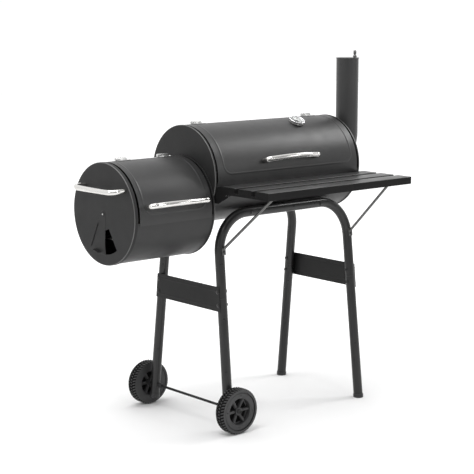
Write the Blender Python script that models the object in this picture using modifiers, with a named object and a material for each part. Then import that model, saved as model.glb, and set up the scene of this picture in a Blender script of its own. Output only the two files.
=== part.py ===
"""Offset smoker: a long cooking drum on a two-frame stand, a lower firebox drum on its left end,
a side chimney, a front shelf and two wheels.

Units are metres, +Z is up. X runs along the drums, from the firebox (-X) to the chimney (+X), and -Y
is the front, where the shelf and the lid handles are. Every shape is laid out about the cooking
drum's middle on the floor; the empty "smoker_origin" then shifts the whole object so that the world
origin is the bottom centre of its bounding box.
"""

import math

import bmesh
import bpy
from mathutils import Euler, Vector

# ---------------------------------------------------------------- driving dimensions
GAP = 0.0003  # between pieces that touch
SHEET = 0.0012  # sheet steel of the drums, lids and panels

DRUM_R = 0.151  # outside of the lids and of the end caps' rims
TUB_R = 0.1490  # outside of the lower shells, which slide inside the rims
MAIN_Z = 0.7655  # height of the cooking drum's axis
FIRE_Z = 0.6741  # height of the firebox's axis
MAIN_X0 = -0.303
MAIN_X1 = 0.308
MAIN_RIM = 0.0055  # width of the cooking drum's cap rims
FIRE_X0 = -0.601
FIRE_X1 = -0.3036
FIRE_RIM_LEFT = 0.012
FIRE_RIM_RIGHT = 0.0055
LID_GAP_MAIN = 0.006
LID_GAP_FIRE = 0.0075

LID_FRONT_DEG = -8.0  # lower front edge of a lid, measured up from the front
LID_REAR_DEG = 96.6
TUB_FRONT_DEG = -5.0  # the lid laps over the shell's front edge
TUB_REAR_DEG = 99.2
HINGE_DEG = 98.0
HINGE_OUT = 0.0045  # hinge pin's axis outside the drum
HINGE_PIN_R = 0.0022
KNUCKLE_R = 0.0046
HINGE_X_MAIN = (-0.235, 0.228)
HINGE_X_FIRE = (-0.521, -0.366)

PASSAGE_W = 0.200
PASSAGE_H = 0.100
PASSAGE_Z = 0.724

CHIMNEY_R = 0.0367
CHIMNEY_X = 0.401
CHIMNEY_TOP = 1.0975
CAP_R = 0.0382
CAP_T = 0.0024
SPINDLE_DX = 0.016
SPINDLE_DY = -0.018
SPINDLE_TOP = 1.1245

LEG_R = 0.015
LEG_WALL = 0.0014
LEG_SEAM_Z = 0.401
RAIL_Z = 0.650
BEND_R = 0.115
LEG_Y0 = 0.1856  # half spread of the legs at the floor
LEG_SPLAY = 0.1032  # inward lean per unit of height
LEFT_X0 = -0.2796
LEFT_FLARE = 0.0175
RIGHT_X0 = 0.2819
RIGHT_FLARE = -0.0116
LEFT_LEG_END = 0.040

PANEL_Z0 = 0.363
PANEL_Z1 = 0.439

WHEEL_R = 0.070
WHEEL_Y0 = 0.1985
WHEEL_Y1 = 0.2355
AXLE_R = 0.004
HUB_BORE_R = 0.00412

SHELF_X0 = -0.2982
SHELF_X1 = 0.3032
SHELF_TOP = 0.7455
SLAT_W = 0.057
SLAT_PITCH = 0.0740
SLAT_H = 0.0225
SHELF_REAR = -0.173

HANDLE_R = 0.008
HANDLE_HALF = 0.105
HANDLE_STAND = 0.028
HANDLE_BOW = 0.019
HANDLE_CORNER = 0.012
END_HANDLE_Y = -0.0096
END_HANDLE_Z = 0.7522
END_HANDLE_HALF = 0.0962
END_HANDLE_STAND = 0.0457
END_HANDLE_BOW = 0.0013
END_HANDLE_CORNER = 0.0257
END_HANDLE_DROOP = 3.4

THERMO_X = 0.112
THERMO_DEG = 67.0
THERMO_R = 0.027
THERMO_H = 0.012

VENT_R0 = 0.047
VENT_R1 = 0.118
VENT_DEG0 = -86.0
VENT_DEG1 = -57.5
DAMPER_DEG = -105.0

ORIGIN_X = -0.10865  # bounding box centre, measured from the cooking drum's middle
ORIGIN_Y = -0.0707

for stale in list(bpy.data.objects):
    bpy.data.objects.remove(stale, do_unlink=True)

PARTS = bpy.data.collections.new("offset_smoker")
CUTTERS = bpy.data.collections.new("cutters")
bpy.context.scene.collection.children.link(PARTS)
bpy.context.scene.collection.children.link(CUTTERS)


# ---------------------------------------------------------------- materials
def material(name, colour, roughness, metallic):
    made = bpy.data.materials.new(name)
    made.use_nodes = True
    shader = made.node_tree.nodes["Principled BSDF"]
    shader.inputs["Base Color"].default_value = (*colour, 1.0)
    shader.inputs["Roughness"].default_value = roughness
    shader.inputs["Metallic"].default_value = metallic
    made.diffuse_color = (*colour, 1.0)
    return made


BLACK = ((0.022, 0.022, 0.022), 0.42, 0.0)
BLACK_DARK = ((0.014, 0.014, 0.014), 0.5, 0.0)
BLACK_PLASTIC = ((0.02, 0.02, 0.021), 0.55, 0.0)
STAINLESS = ((0.72, 0.71, 0.69), 0.22, 1.0)
CHROME = ((0.85, 0.85, 0.86), 0.08, 1.0)
ZINC = ((0.78, 0.78, 0.77), 0.3, 1.0)
GRATE = ((0.35, 0.35, 0.34), 0.35, 1.0)
DIAL = ((0.9, 0.9, 0.88), 0.5, 0.0)
GLASS = ((0.9, 0.93, 0.93), 0.05, 0.0)


# ---------------------------------------------------------------- helpers
def empty(name, location, parent=None):
    made = bpy.data.objects.new(name, None)
    made.location = location
    made.parent = parent
    PARTS.objects.link(made)
    return made


ROOT = empty("smoker_origin", (-ORIGIN_X, -ORIGIN_Y, 0.0))


def add_part(name, mesh, look, location=(0, 0, 0), rotation=(0, 0, 0), parent=None, smooth=True):
    """Links one named sub-part, given in the drum's own frame, under the empty of its moving body."""
    made = bpy.data.objects.new(name, mesh)
    PARTS.objects.link(made)
    made.parent = parent or ROOT
    shift = made.parent.location if parent else Vector((0, 0, 0))
    made.location = Vector(location) - shift
    made.rotation_euler = rotation
    made.data.materials.clear()
    made.data.materials.append(material(name, *look))
    if smooth:
        made.data.shade_smooth()
        made.data.set_sharp_from_angle(angle=math.radians(35))
    return made


def add_cutter(name, mesh, location=(0, 0, 0), rotation=(0, 0, 0), parent=None):
    made = bpy.data.objects.new(name, mesh)
    CUTTERS.objects.link(made)
    made.parent = parent or ROOT
    shift = made.parent.location if parent else Vector((0, 0, 0))
    made.location = Vector(location) - shift
    made.rotation_euler = rotation
    made.hide_render = True
    made.display_type = "WIRE"
    return made


def boolean(target, tool, operation="DIFFERENCE"):
    change = target.modifiers.new(tool.name, "BOOLEAN")
    change.operation = operation
    change.solver = "EXACT"
    change.object = tool


def mesh_of(build, name="shape"):
    """A mesh filled by a bmesh function."""
    grid = bmesh.new()
    build(grid)
    made = bpy.data.meshes.new(name)
    grid.to_mesh(made)
    grid.free()
    return made


def box_mesh(size_x, size_y, size_z):
    def build(grid):
        bmesh.ops.create_cube(grid, size=1.0)
        bmesh.ops.scale(grid, vec=(size_x, size_y, size_z), verts=grid.verts)

    return mesh_of(build)


def cylinder_mesh(radius, depth, segments=24, top_radius=None):
    def build(grid):
        bmesh.ops.create_cone(
            grid,
            cap_ends=True,
            segments=segments,
            radius1=radius,
            radius2=radius if top_radius is None else top_radius,
            depth=depth,
        )

    return mesh_of(build)


def mesh_from_curve(curve):
    """The closed mesh of a curve's evaluated shape, its caps welded on."""
    holder = bpy.data.objects.new("curve_holder", curve)
    bpy.context.scene.collection.objects.link(holder)
    bpy.context.view_layer.update()
    graph = bpy.context.evaluated_depsgraph_get()
    made = bpy.data.meshes.new_from_object(holder.evaluated_get(graph))
    bpy.data.objects.remove(holder, do_unlink=True)
    grid = bmesh.new()
    grid.from_mesh(made)
    bmesh.ops.remove_doubles(grid, verts=grid.verts, dist=1e-6)
    bmesh.ops.recalc_face_normals(grid, faces=grid.faces)
    grid.to_mesh(made)
    grid.free()
    return made


def plate_mesh(outline, thickness, holes=()):
    """A flat outline in the local XY plane, thickened evenly about it."""
    curve = bpy.data.curves.new("outline", "CURVE")
    curve.dimensions = "2D"
    curve.fill_mode = "BOTH"
    curve.extrude = thickness / 2
    for loop in (outline, *holes):
        spline = curve.splines.new("POLY")
        spline.points.add(len(loop) - 1)
        for point, (across, up) in zip(spline.points, loop):
            point.co = (across, up, 0.0, 1.0)
        spline.use_cyclic_u = True
    return mesh_from_curve(curve)


def path_curve(points, radius, resolution, caps):
    curve = bpy.data.curves.new("path", "CURVE")
    curve.dimensions = "3D"
    curve.bevel_depth = radius
    curve.bevel_resolution = resolution
    curve.use_fill_caps = caps
    spline = curve.splines.new("POLY")
    spline.points.add(len(points) - 1)
    for point, place in zip(spline.points, points):
        point.co = (*place, 1.0)
    return curve


def rod_mesh(points, radius, resolution=4):
    return mesh_from_curve(path_curve(points, radius, resolution, True))


def open_tube_mesh(points, radius, resolution=4):
    return mesh_from_curve(path_curve(points, radius, resolution, False))


def turned_mesh(profile):
    """The open or closed profile that a Screw modifier turns about the local Z axis."""
    made = bpy.data.meshes.new("profile")
    edges = [(i, i + 1) for i in range(len(profile) - 1)]
    if profile[0][0] > 1e-6 or profile[-1][0] > 1e-6:
        edges.append((len(profile) - 1, 0))
    made.from_pydata([(r, 0.0, z) for r, z in profile], edges, [])
    return made


def turn(target, steps):
    screw = target.modifiers.new("turn", "SCREW")
    screw.axis = "Z"
    screw.steps = steps
    screw.render_steps = steps
    screw.use_merge_vertices = True
    screw.merge_threshold = 0.00001
    screw.use_smooth_shade = True


def solidify(target, thickness):
    wall = target.modifiers.new("wall", "SOLIDIFY")
    wall.thickness = thickness
    wall.offset = -1.0
    wall.use_even_offset = True


def around(radius, degrees, centre_z=0.0):
    """(y, z) on a circle, where 0 degrees is the front and 90 the top."""
    angle = math.radians(degrees)
    return (-radius * math.cos(angle), centre_z + radius * math.sin(angle))


def arc(radius, start, end, steps):
    return [around(radius, start + (end - start) * i / steps) for i in range(steps + 1)]


# local X, Y and Z of a plate laid across the drums become world Y, Z and X
ACROSS = (math.pi / 2, 0.0, math.pi / 2)
TO_PLUS_X = (0.0, math.pi / 2, 0.0)
TO_MINUS_X = (0.0, -math.pi / 2, 0.0)
TO_PLUS_Y = (-math.pi / 2, 0.0, 0.0)
TO_MINUS_Y = (math.pi / 2, 0.0, 0.0)


def shell_mesh(outer, start, end, length, steps):
    """A rolled sheet: part of a ring, as long as the drum."""
    inner = outer - SHEET
    outline = arc(outer, start, end, steps) + arc(inner, end, start, steps)
    return plate_mesh(outline, length)


def pan(name, look, radius, rim, x_face, facing, holes=(), steps=48):
    """An end cap: a flat disc with a turned rim that points into the drum."""
    profile = [
        (0.0, 0.0),
        (radius, 0.0),
        (radius, -rim),
        (radius - SHEET, -rim),
        (radius - SHEET, -SHEET),
        (0.0, -SHEET),
    ]
    turned = TO_MINUS_X if facing < 0 else TO_PLUS_X
    made = add_part(name, turned_mesh(profile), look, x_face, turned)
    turn(made, steps)
    for hole in holes:
        boolean(made, hole)
    return made


def leg_x(height, left):
    return LEFT_X0 + LEFT_FLARE * height if left else RIGHT_X0 + RIGHT_FLARE * height


def leg_y(height, front):
    spread = LEG_Y0 - LEG_SPLAY * height
    return -spread if front else spread


def leg_point(height, left, front):
    return Vector((leg_x(height, left), leg_y(height, front), height))


# ---------------------------------------------------------------- drums
passage_cut = add_cutter(
    "passage_cut", box_mesh(0.04, PASSAGE_W, PASSAGE_H), (MAIN_X0, 0.0, PASSAGE_Z)
)
outlet_cut = add_cutter(
    "outlet_cut",
    cylinder_mesh(CHIMNEY_R - SHEET, 0.04, 20),
    (MAIN_X1, 0.0, MAIN_Z),
    TO_PLUS_X,
)


def fan_outline(radius0, radius1, start, end, steps):
    return arc(radius1, start, end, steps) + arc(radius0, end, start, 3)


vent_cut = add_cutter(
    "vent_cut",
    plate_mesh(fan_outline(VENT_R0, VENT_R1, VENT_DEG0, VENT_DEG1, 8), 0.02),
    (FIRE_X0, 0.0, FIRE_Z),
    ACROSS,
)
vent_screw_cut = add_cutter(
    "vent_screw_cut", cylinder_mesh(0.0033, 0.02, 10), (FIRE_X0, 0.0, FIRE_Z), TO_PLUS_X
)


def tub(name, x0, x1, axis_z):
    length = x1 - x0
    mesh = shell_mesh(TUB_R, TUB_FRONT_DEG, TUB_REAR_DEG - 360.0, length, 36)
    return add_part(name, mesh, BLACK, ((x0 + x1) / 2, 0.0, axis_z), ACROSS)


tub("main_tub", MAIN_X0 + SHEET + GAP, MAIN_X1 - SHEET - GAP, MAIN_Z)
pan("main_cap_left", BLACK, DRUM_R, MAIN_RIM, (MAIN_X0, 0, MAIN_Z), -1, [passage_cut])
pan("main_cap_right", BLACK, DRUM_R, MAIN_RIM, (MAIN_X1, 0, MAIN_Z), 1, [outlet_cut])
tub("firebox_tub", FIRE_X0 + SHEET + GAP, FIRE_X1 - SHEET - GAP, FIRE_Z)
pan(
    "firebox_cap_left",
    BLACK_DARK,
    DRUM_R,
    FIRE_RIM_LEFT,
    (FIRE_X0, 0, FIRE_Z),
    -1,
    [vent_cut, vent_screw_cut],
)
pan("firebox_cap_right", BLACK, DRUM_R, FIRE_RIM_RIGHT, (FIRE_X1, 0, FIRE_Z), 1, [passage_cut])


# ---------------------------------------------------------------- lids and hinges
def hinge_axis(axis_z):
    y, z = around(DRUM_R + HINGE_OUT, HINGE_DEG, axis_z)
    return Vector((0.0, y, z))


MAIN_HINGE = empty("main_lid_axis", hinge_axis(MAIN_Z), ROOT)
FIRE_HINGE = empty("firebox_lid_axis", hinge_axis(FIRE_Z), ROOT)


def lid(name, x0, x1, axis_z, parent):
    mesh = shell_mesh(DRUM_R, LID_FRONT_DEG, LID_REAR_DEG, x1 - x0, 20)
    return add_part(name, mesh, BLACK, ((x0 + x1) / 2, 0.0, axis_z), ACROSS, parent)


main_lid = lid(
    "main_lid",
    MAIN_X0 + MAIN_RIM + LID_GAP_MAIN,
    MAIN_X1 - MAIN_RIM - LID_GAP_MAIN,
    MAIN_Z,
    MAIN_HINGE,
)
lid(
    "firebox_lid",
    FIRE_X0 + FIRE_RIM_LEFT + LID_GAP_FIRE,
    FIRE_X1 - FIRE_RIM_RIGHT - LID_GAP_MAIN,
    FIRE_Z,
    FIRE_HINGE,
)

LEAF_T = 0.0015
LEAF_L = 0.020
KNUCKLE_OUT = 0.0125
KNUCKLE_MID = 0.0125
KNUCKLE_GAP = 0.0005


def hinge_leaf(name, x, axis_z, on_lid, parent):
    """One hinge leaf: a flat plate on the sheet, with tongues and barrels on the shared pin line."""
    side = -1.0 if on_lid else 1.0
    mid_deg = HINGE_DEG + side * math.degrees((LEAF_L / 2 + KNUCKLE_R + 0.001) / DRUM_R)
    leaf_radius = DRUM_R + 0.0005 + LEAF_T / 2
    if not on_lid:
        leaf_radius = TUB_R + 0.0005 + LEAF_T / 2
    y, z = around(leaf_radius, mid_deg, axis_z)
    tilt = (math.radians(90.0 - mid_deg), 0.0, 0.0)
    width = KNUCKLE_OUT * 2 + KNUCKLE_MID + KNUCKLE_GAP * 2
    made = add_part(name, box_mesh(width, LEAF_L, LEAF_T), ZINC, (x, y, z), tilt, parent)
    pin = hinge_axis(axis_z)
    if on_lid:
        spans = [(0.0, KNUCKLE_MID)]
    else:
        offset = KNUCKLE_MID / 2 + KNUCKLE_GAP + KNUCKLE_OUT / 2
        spans = [(-offset, KNUCKLE_OUT), (offset, KNUCKLE_OUT)]
    for number, (offset, length) in enumerate(spans):
        barrel = add_cutter(
            f"{name}_barrel_{number}",
            cylinder_mesh(KNUCKLE_R, length, 12),
            (x + offset, pin.y, pin.z),
            TO_PLUS_X,
            parent,
        )
        tongue_deg = (mid_deg + HINGE_DEG) / 2
        ty, tz = around(leaf_radius, tongue_deg, axis_z)
        tongue = add_cutter(
            f"{name}_tongue_{number}",
            box_mesh(length, LEAF_L / 2 + KNUCKLE_R + 0.001, LEAF_T * 0.96),
            (x + offset, ty, tz),
            (math.radians(90.0 - tongue_deg), 0.0, 0.0),
            parent,
        )
        boolean(made, barrel, "UNION")
        boolean(made, tongue, "UNION")
    if on_lid:
        bore = add_cutter(
            f"{name}_bore",
            cylinder_mesh(HINGE_PIN_R + 0.0002, 0.05, 10),
            (x, pin.y, pin.z),
            TO_PLUS_X,
            parent,
        )
        boolean(made, bore)
    else:
        rod = add_cutter(
            f"{name}_pin",
            cylinder_mesh(HINGE_PIN_R, width + 0.002, 10),
            (x, pin.y, pin.z),
            TO_PLUS_X,
            parent,
        )
        boolean(made, rod, "UNION")
    return made


for side, x in zip(("left", "right"), HINGE_X_MAIN):
    hinge_leaf(f"main_hinge_leaf_{side}", x, MAIN_Z, True, MAIN_HINGE)
    hinge_leaf(f"main_hinge_base_{side}", x, MAIN_Z, False, None)
for side, x in zip(("left", "right"), HINGE_X_FIRE):
    hinge_leaf(f"firebox_hinge_leaf_{side}", x, FIRE_Z, True, FIRE_HINGE)
    hinge_leaf(f"firebox_hinge_base_{side}", x, FIRE_Z, False, None)


# ---------------------------------------------------------------- bow handles
def bow_points(half, stand, bow, corner, droop=0.0):
    """Centre line of a bow handle: feet on the local XY plane, the bow standing off along +Z."""
    points = [(-half, 0.0, GAP), (-half, 0.0, stand - corner)]
    if droop:
        points.insert(1, (-half, 0.0, 0.003))
    for step in range(1, 4):
        turned = math.radians(30.0 * step)
        points.append(
            (
                -half + corner * (1 - math.cos(turned)),
                0.0,
                stand - corner + corner * math.sin(turned),
            )
        )
    feet = len(points)
    reach = half - corner
    for step in range(1, 8):
        along = -reach + 2 * reach * step / 8
        points.append((along, 0.0, stand + bow * (1 - (along / reach) ** 2)))
    points += [(-x, y, z) for x, y, z in reversed(points[:feet])]
    slope = math.tan(math.radians(droop))
    return [(x, -slope * max(z - 0.003, 0.0), z) for x, y, z in points]


BOW = rod_mesh(bow_points(HANDLE_HALF, HANDLE_STAND, HANDLE_BOW, HANDLE_CORNER), HANDLE_R, 3)
END_BOW_LINE = bow_points(
    END_HANDLE_HALF, END_HANDLE_STAND, END_HANDLE_BOW, END_HANDLE_CORNER, END_HANDLE_DROOP
)
END_BOW = rod_mesh(END_BOW_LINE, HANDLE_R, 3)


def bow_handle(name, shape, location, rotation, parent=None):
    return add_part(name, shape.copy(), STAINLESS, location, rotation, parent)


MAIN_HANDLE_DEG = 15.6
FIRE_HANDLE_DEG = 12.1


def lid_handle(name, x, degrees, axis_z, parent):
    y, z = around(DRUM_R + 0.0006, degrees, axis_z)
    tilt = (math.radians(90.0 - degrees), 0.0, 0.0)
    return bow_handle(name, BOW, (x, y, z), tilt, parent)


lid_handle("main_lid_handle", 0.0, MAIN_HANDLE_DEG, MAIN_Z, MAIN_HINGE)
lid_handle("firebox_lid_handle", -0.450, FIRE_HANDLE_DEG, FIRE_Z, FIRE_HINGE)
bow_handle(
    "firebox_end_handle",
    END_BOW,
    (FIRE_X0 - GAP, END_HANDLE_Y, END_HANDLE_Z),
    (math.pi / 2, 0.0, -math.pi / 2),
)


# ---------------------------------------------------------------- thermometer
thermo_y, thermo_z = around(DRUM_R + 0.0004, THERMO_DEG, MAIN_Z)
THERMO_PLACE = (THERMO_X, thermo_y, thermo_z)
THERMO_TILT = (math.radians(90.0 - THERMO_DEG), 0.0, 0.0)
NEEDLE = empty("thermometer_axis", THERMO_PLACE, ROOT)
stem_cut = add_cutter(
    "stem_cut", cylinder_mesh(0.0042, 0.02, 12), THERMO_PLACE, THERMO_TILT, MAIN_HINGE
)
boolean(main_lid, stem_cut)
case = add_part(
    "thermometer_case",
    turned_mesh(
        [
            (0.0, 0.0045),
            (THERMO_R - 0.0030, 0.0045),
            (THERMO_R - 0.0030, THERMO_H),
            (THERMO_R - 0.0008, THERMO_H),
            (THERMO_R, THERMO_H - 0.0015),
            (THERMO_R, 0.0004),
            (0.0038, 0.0004),
            (0.0038, -0.006),
            (0.0026, -0.008),
            (0.0026, -0.050),
            (0.0, -0.051),
        ]
    ),
    CHROME,
    THERMO_PLACE,
    THERMO_TILT,
    MAIN_HINGE,
)
turn(case, 20)


def on_thermometer(name, mesh, look, height, parent=MAIN_HINGE):
    lift = Euler(THERMO_TILT).to_matrix() @ Vector((0.0, 0.0, height))
    place = Vector(THERMO_PLACE) + lift
    return add_part(name, mesh, look, place, THERMO_TILT, parent)


on_thermometer("thermometer_dial", cylinder_mesh(THERMO_R - 0.0036, 0.0008, 20), DIAL, 0.0052)
on_thermometer("thermometer_glass", cylinder_mesh(THERMO_R - 0.0036, 0.0012, 20), GLASS, 0.0104)
needle_outline = [(-0.0012, -0.006), (0.0012, -0.006), (0.0004, 0.017), (-0.0004, 0.017)]
needle = on_thermometer(
    "thermometer_needle", plate_mesh(needle_outline, 0.0006), BLACK_PLASTIC, 0.0072, NEEDLE
)
needle.rotation_euler = (Euler(THERMO_TILT).to_matrix() @ Euler((0, 0, 2.2)).to_matrix()).to_euler()


# ---------------------------------------------------------------- chimney
def elbow_points():
    straight = 0.006
    radius = CHIMNEY_X - MAIN_X1 - GAP - straight
    points = [(MAIN_X1 + GAP, 0.0, MAIN_Z)]
    for step in range(7):
        turned = math.radians(90.0 * step / 6)
        points.append(
            (
                CHIMNEY_X - radius + radius * math.sin(turned),
                0.0,
                MAIN_Z + radius - radius * math.cos(turned),
            )
        )
    points.append((CHIMNEY_X, 0.0, CHIMNEY_TOP))
    return points


pipe = add_part("chimney_pipe", open_tube_mesh(elbow_points(), CHIMNEY_R, 7), BLACK)
solidify(pipe, SHEET)
flange_profile = [
    (CHIMNEY_R + 0.0005, 0.0018),
    (0.050, 0.0018),
    (0.050, 0.0),
    (CHIMNEY_R + 0.0005, 0.0),
]
flange = add_part(
    "chimney_flange",
    turned_mesh(flange_profile),
    BLACK,
    (MAIN_X1 + GAP, 0.0, MAIN_Z),
    TO_PLUS_X,
)
turn(flange, 24)

spindle_x = CHIMNEY_X + SPINDLE_DX
spindle_turn = math.atan2(SPINDLE_DY, SPINDLE_DX)
lug_reach = CHIMNEY_R - SHEET - 0.0012
lug_centre = 0.5 * (lug_reach + 0.016)
lug = add_part(
    "chimney_spindle",
    box_mesh(lug_reach - 0.016, 0.008, 0.002),
    ZINC,
    (
        CHIMNEY_X + lug_centre * math.cos(spindle_turn),
        lug_centre * math.sin(spindle_turn),
        CHIMNEY_TOP - 0.004,
    ),
    (0.0, 0.0, spindle_turn),
)
rod = add_cutter(
    "spindle_rod",
    cylinder_mesh(0.0025, 0.020, 10),
    (spindle_x, SPINDLE_DY, CHIMNEY_TOP + 0.006),
)
boolean(lug, rod, "UNION")
knob = add_cutter(
    "spindle_knob",
    turned_mesh(
        [
            (0.0, 0.0240),
            (0.0030, 0.0235),
            (0.0042, 0.0225),
            (0.0048, 0.0180),
            (0.0048, 0.0090),
            (0.0062, 0.0045),
            (0.0062, 0.0),
            (0.0, 0.0),
        ]
    ),
    (spindle_x, SPINDLE_DY, CHIMNEY_TOP + GAP + CAP_T + GAP),
)
turn(knob, 12)
boolean(lug, knob, "UNION")
CAP_AXIS = empty("chimney_cap_axis", (spindle_x, SPINDLE_DY, CHIMNEY_TOP), ROOT)
cap = add_part(
    "chimney_cap",
    cylinder_mesh(CAP_R, CAP_T, 32),
    BLACK,
    (CHIMNEY_X, 0.0, CHIMNEY_TOP + GAP + CAP_T / 2),
    parent=CAP_AXIS,
)
boolean(
    cap,
    add_cutter(
        "cap_cut",
        cylinder_mesh(0.00272, 0.02, 10),
        (spindle_x, SPINDLE_DY, CHIMNEY_TOP),
        parent=CAP_AXIS,
    ),
)

# ---------------------------------------------------------------- firebox air damper
DAMPER_AXIS = empty("vent_damper_axis", (FIRE_X0, 0.0, FIRE_Z), ROOT)
DAMPER_T = 0.0015
DAMPER_R = 0.119


def damper_outline():
    """A bell: a round head about the pivot, straight flanks 30 degrees apart, and a round foot."""
    head = 0.012
    half = 15.0
    foot = [(DAMPER_R, -half - 2.0 + (2 * half + 4.0) * i / 8) for i in range(9)]
    outline = [around(radius, DAMPER_DEG + degrees) for radius, degrees in foot]
    for i in range(9):
        outline.append(around(head, DAMPER_DEG + 90.0 + 180.0 * i / 8))
    return outline


damper_x = FIRE_X0 - GAP - DAMPER_T / 2
damper = add_part(
    "vent_damper",
    plate_mesh(damper_outline(), DAMPER_T),
    BLACK,
    (damper_x, 0.0, FIRE_Z),
    ACROSS,
    DAMPER_AXIS,
)
tab_y, tab_z = around(DAMPER_R - 0.004, DAMPER_DEG, FIRE_Z)
tab = add_cutter(
    "damper_tab",
    box_mesh(0.012, 0.026, 0.0016),
    (damper_x - 0.0055, tab_y, tab_z),
    (math.radians(-DAMPER_DEG - 90.0), 0.0, 0.0),
    DAMPER_AXIS,
)
boolean(damper, tab, "UNION")
boolean(
    damper,
    add_cutter(
        "damper_cut",
        cylinder_mesh(0.00303, 0.02, 10),
        (damper_x, 0.0, FIRE_Z),
        TO_PLUS_X,
        DAMPER_AXIS,
    ),
)
vent_screw = add_part(
    "vent_screw",
    turned_mesh(
        [
            (0.0, 0.0026),
            (0.0040, 0.0022),
            (0.0060, 0.0),
            (0.0028, 0.0),
            (0.0028, -0.0042),
            (0.0055, -0.0042),
            (0.0055, -0.0082),
            (0.0, -0.0082),
        ]
    ),
    ZINC,
    (FIRE_X0 - GAP * 2 - DAMPER_T, 0.0, FIRE_Z),
    TO_MINUS_X,
)
turn(vent_screw, 12)


# ---------------------------------------------------------------- grates
def grate(name, x0, x1, half_width, top_z, bars):
    """A grate as a flat frame with evenly spaced bars from front to back."""
    length = x1 - x0
    border = 0.008
    bar = 0.006
    slot = (length - 2 * border - (bars - 1) * bar) / bars
    outline = [
        (-length / 2, -half_width),
        (length / 2, -half_width),
        (length / 2, half_width),
        (-length / 2, half_width),
    ]
    slots = []
    for number in range(bars):
        left = -length / 2 + border + number * (slot + bar)
        right = left + slot
        low = -half_width + border
        slots.append([(left, low), (left, -low), (right, -low), (right, low)])
    thick = 0.005
    mesh = plate_mesh(outline, thick, slots)
    middle = ((x0 + x1) / 2, 0.0, top_z - thick / 2)
    return add_part(name, mesh, GRATE, middle, smooth=False)


def chord(z, axis_z):
    """Half width between the shell's inner walls at this height, less a little play."""
    return math.sqrt((TUB_R - SHEET) ** 2 - (z - axis_z) ** 2) - 0.0006


COOK_Z = 0.742
COAL_Z = 0.684
FIRE_COOK_Z = 0.655
FIRE_COAL_Z = 0.604
grate("cooking_grate_left", -0.2995, 0.0010, chord(COOK_Z - 0.005, MAIN_Z), COOK_Z, 12)
grate("cooking_grate_right", 0.0025, 0.3040, chord(COOK_Z - 0.005, MAIN_Z), COOK_Z, 12)
grate("charcoal_grate", -0.290, 0.295, chord(COAL_Z - 0.005, MAIN_Z), COAL_Z, 18)
grate(
    "firebox_cooking_grate", -0.5970, -0.3075, chord(FIRE_COOK_Z - 0.005, FIRE_Z), FIRE_COOK_Z, 12
)
grate(
    "firebox_charcoal_grate", -0.590, -0.315, chord(FIRE_COAL_Z - 0.005, FIRE_Z), FIRE_COAL_Z, 12
)


# ---------------------------------------------------------------- stand
def frame_points(front):
    """An inverted U in the legs' leaning plane: up one leg, round, along the rail and down."""
    points = [leg_point(LEG_SEAM_Z + GAP, True, front)]
    bend_z = RAIL_Z - BEND_R
    points.append(leg_point(bend_z, True, front))
    left = leg_x(bend_z, True)
    right = leg_x(bend_z, False)
    for step in range(1, 6):
        turned = math.radians(90.0 * step / 6)
        height = bend_z + BEND_R * math.sin(turned)
        across = left + BEND_R * (1 - math.cos(turned))
        points.append(Vector((across, leg_y(height, front), height)))
    points.append(Vector((left + BEND_R, leg_y(RAIL_Z, front), RAIL_Z)))
    points.append(Vector((right - BEND_R, leg_y(RAIL_Z, front), RAIL_Z)))
    for step in range(5, 0, -1):
        turned = math.radians(90.0 * step / 6)
        height = bend_z + BEND_R * math.sin(turned)
        across = right - BEND_R * (1 - math.cos(turned))
        points.append(Vector((across, leg_y(height, front), height)))
    points.append(leg_point(bend_z, False, front))
    points.append(leg_point(LEG_SEAM_Z + GAP, False, front))
    return points


for place, front in (("front", True), ("rear", False)):
    frame = add_part(f"frame_{place}", open_tube_mesh(frame_points(front), LEG_R, 4), BLACK)
    solidify(frame, LEG_WALL)

axle_x = leg_x(WHEEL_R, True)
floor_cut = add_cutter("floor_cut", box_mesh(1.0, 1.0, 0.1), (0.0, 0.0, -0.05))
axle_cut = add_cutter(
    "axle_cut", cylinder_mesh(AXLE_R + 0.0006, 0.6, 12), (axle_x, 0.0, WHEEL_R), TO_PLUS_Y
)
FOOT_PROFILE = [
    (0.0, 0.0020),
    (0.96 * (LEG_R - LEG_WALL), 0.0020),
    (0.96 * (LEG_R - LEG_WALL), -0.0004),
    (LEG_R + 0.0016, -0.0004),
    (LEG_R + 0.0016, -0.0120),
    (LEG_R, -0.0140),
    (0.0, -0.0140),
]
for side, left in (("left", True), ("right", False)):
    for place, front in (("front", True), ("rear", False)):
        foot_z = LEFT_LEG_END + 0.001 if left else 0.0115
        top = leg_point(LEG_SEAM_Z - GAP, left, front)
        low = leg_point(foot_z, left, front)
        leg = add_part(f"leg_{place}_{side}", open_tube_mesh([top, low], LEG_R, 4), BLACK)
        solidify(leg, LEG_WALL)
        if left:
            boolean(leg, axle_cut)
        foot = add_part(
            f"foot_cap_{place}_{side}",
            turned_mesh(FOOT_PROFILE),
            BLACK_PLASTIC,
            low,
            (top - low).to_track_quat("Z", "Y").to_euler(),
        )
        turn(foot, 14)
        if not left:
            boolean(foot, floor_cut)


def panel(name, x):
    """A sheet panel across one pair of legs, its ends following their lean."""
    low = LEG_Y0 - LEG_SPLAY * PANEL_Z0 + LEG_R * 0.55
    high = LEG_Y0 - LEG_SPLAY * PANEL_Z1 + LEG_R * 0.55
    middle = (PANEL_Z0 + PANEL_Z1) / 2
    half = (PANEL_Z1 - PANEL_Z0) / 2
    outline = [(-low, -half), (low, -half), (high, half), (-high, half)]
    return add_part(name, plate_mesh(outline, SHEET), BLACK, (x, 0.0, middle), ACROSS, smooth=False)


panel("side_panel_left", leg_x(PANEL_Z0, True) - LEG_R - GAP - SHEET / 2)
panel("side_panel_right", leg_x(PANEL_Z0, False) + LEG_R + GAP + SHEET / 2)

# ---------------------------------------------------------------- axle and wheels
AXLE_END = 0.2365
add_part(
    "axle",
    cylinder_mesh(AXLE_R, 2 * AXLE_END, 20),
    BLACK_DARK,
    (axle_x, 0.0, WHEEL_R),
    TO_PLUS_Y,
)


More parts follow.
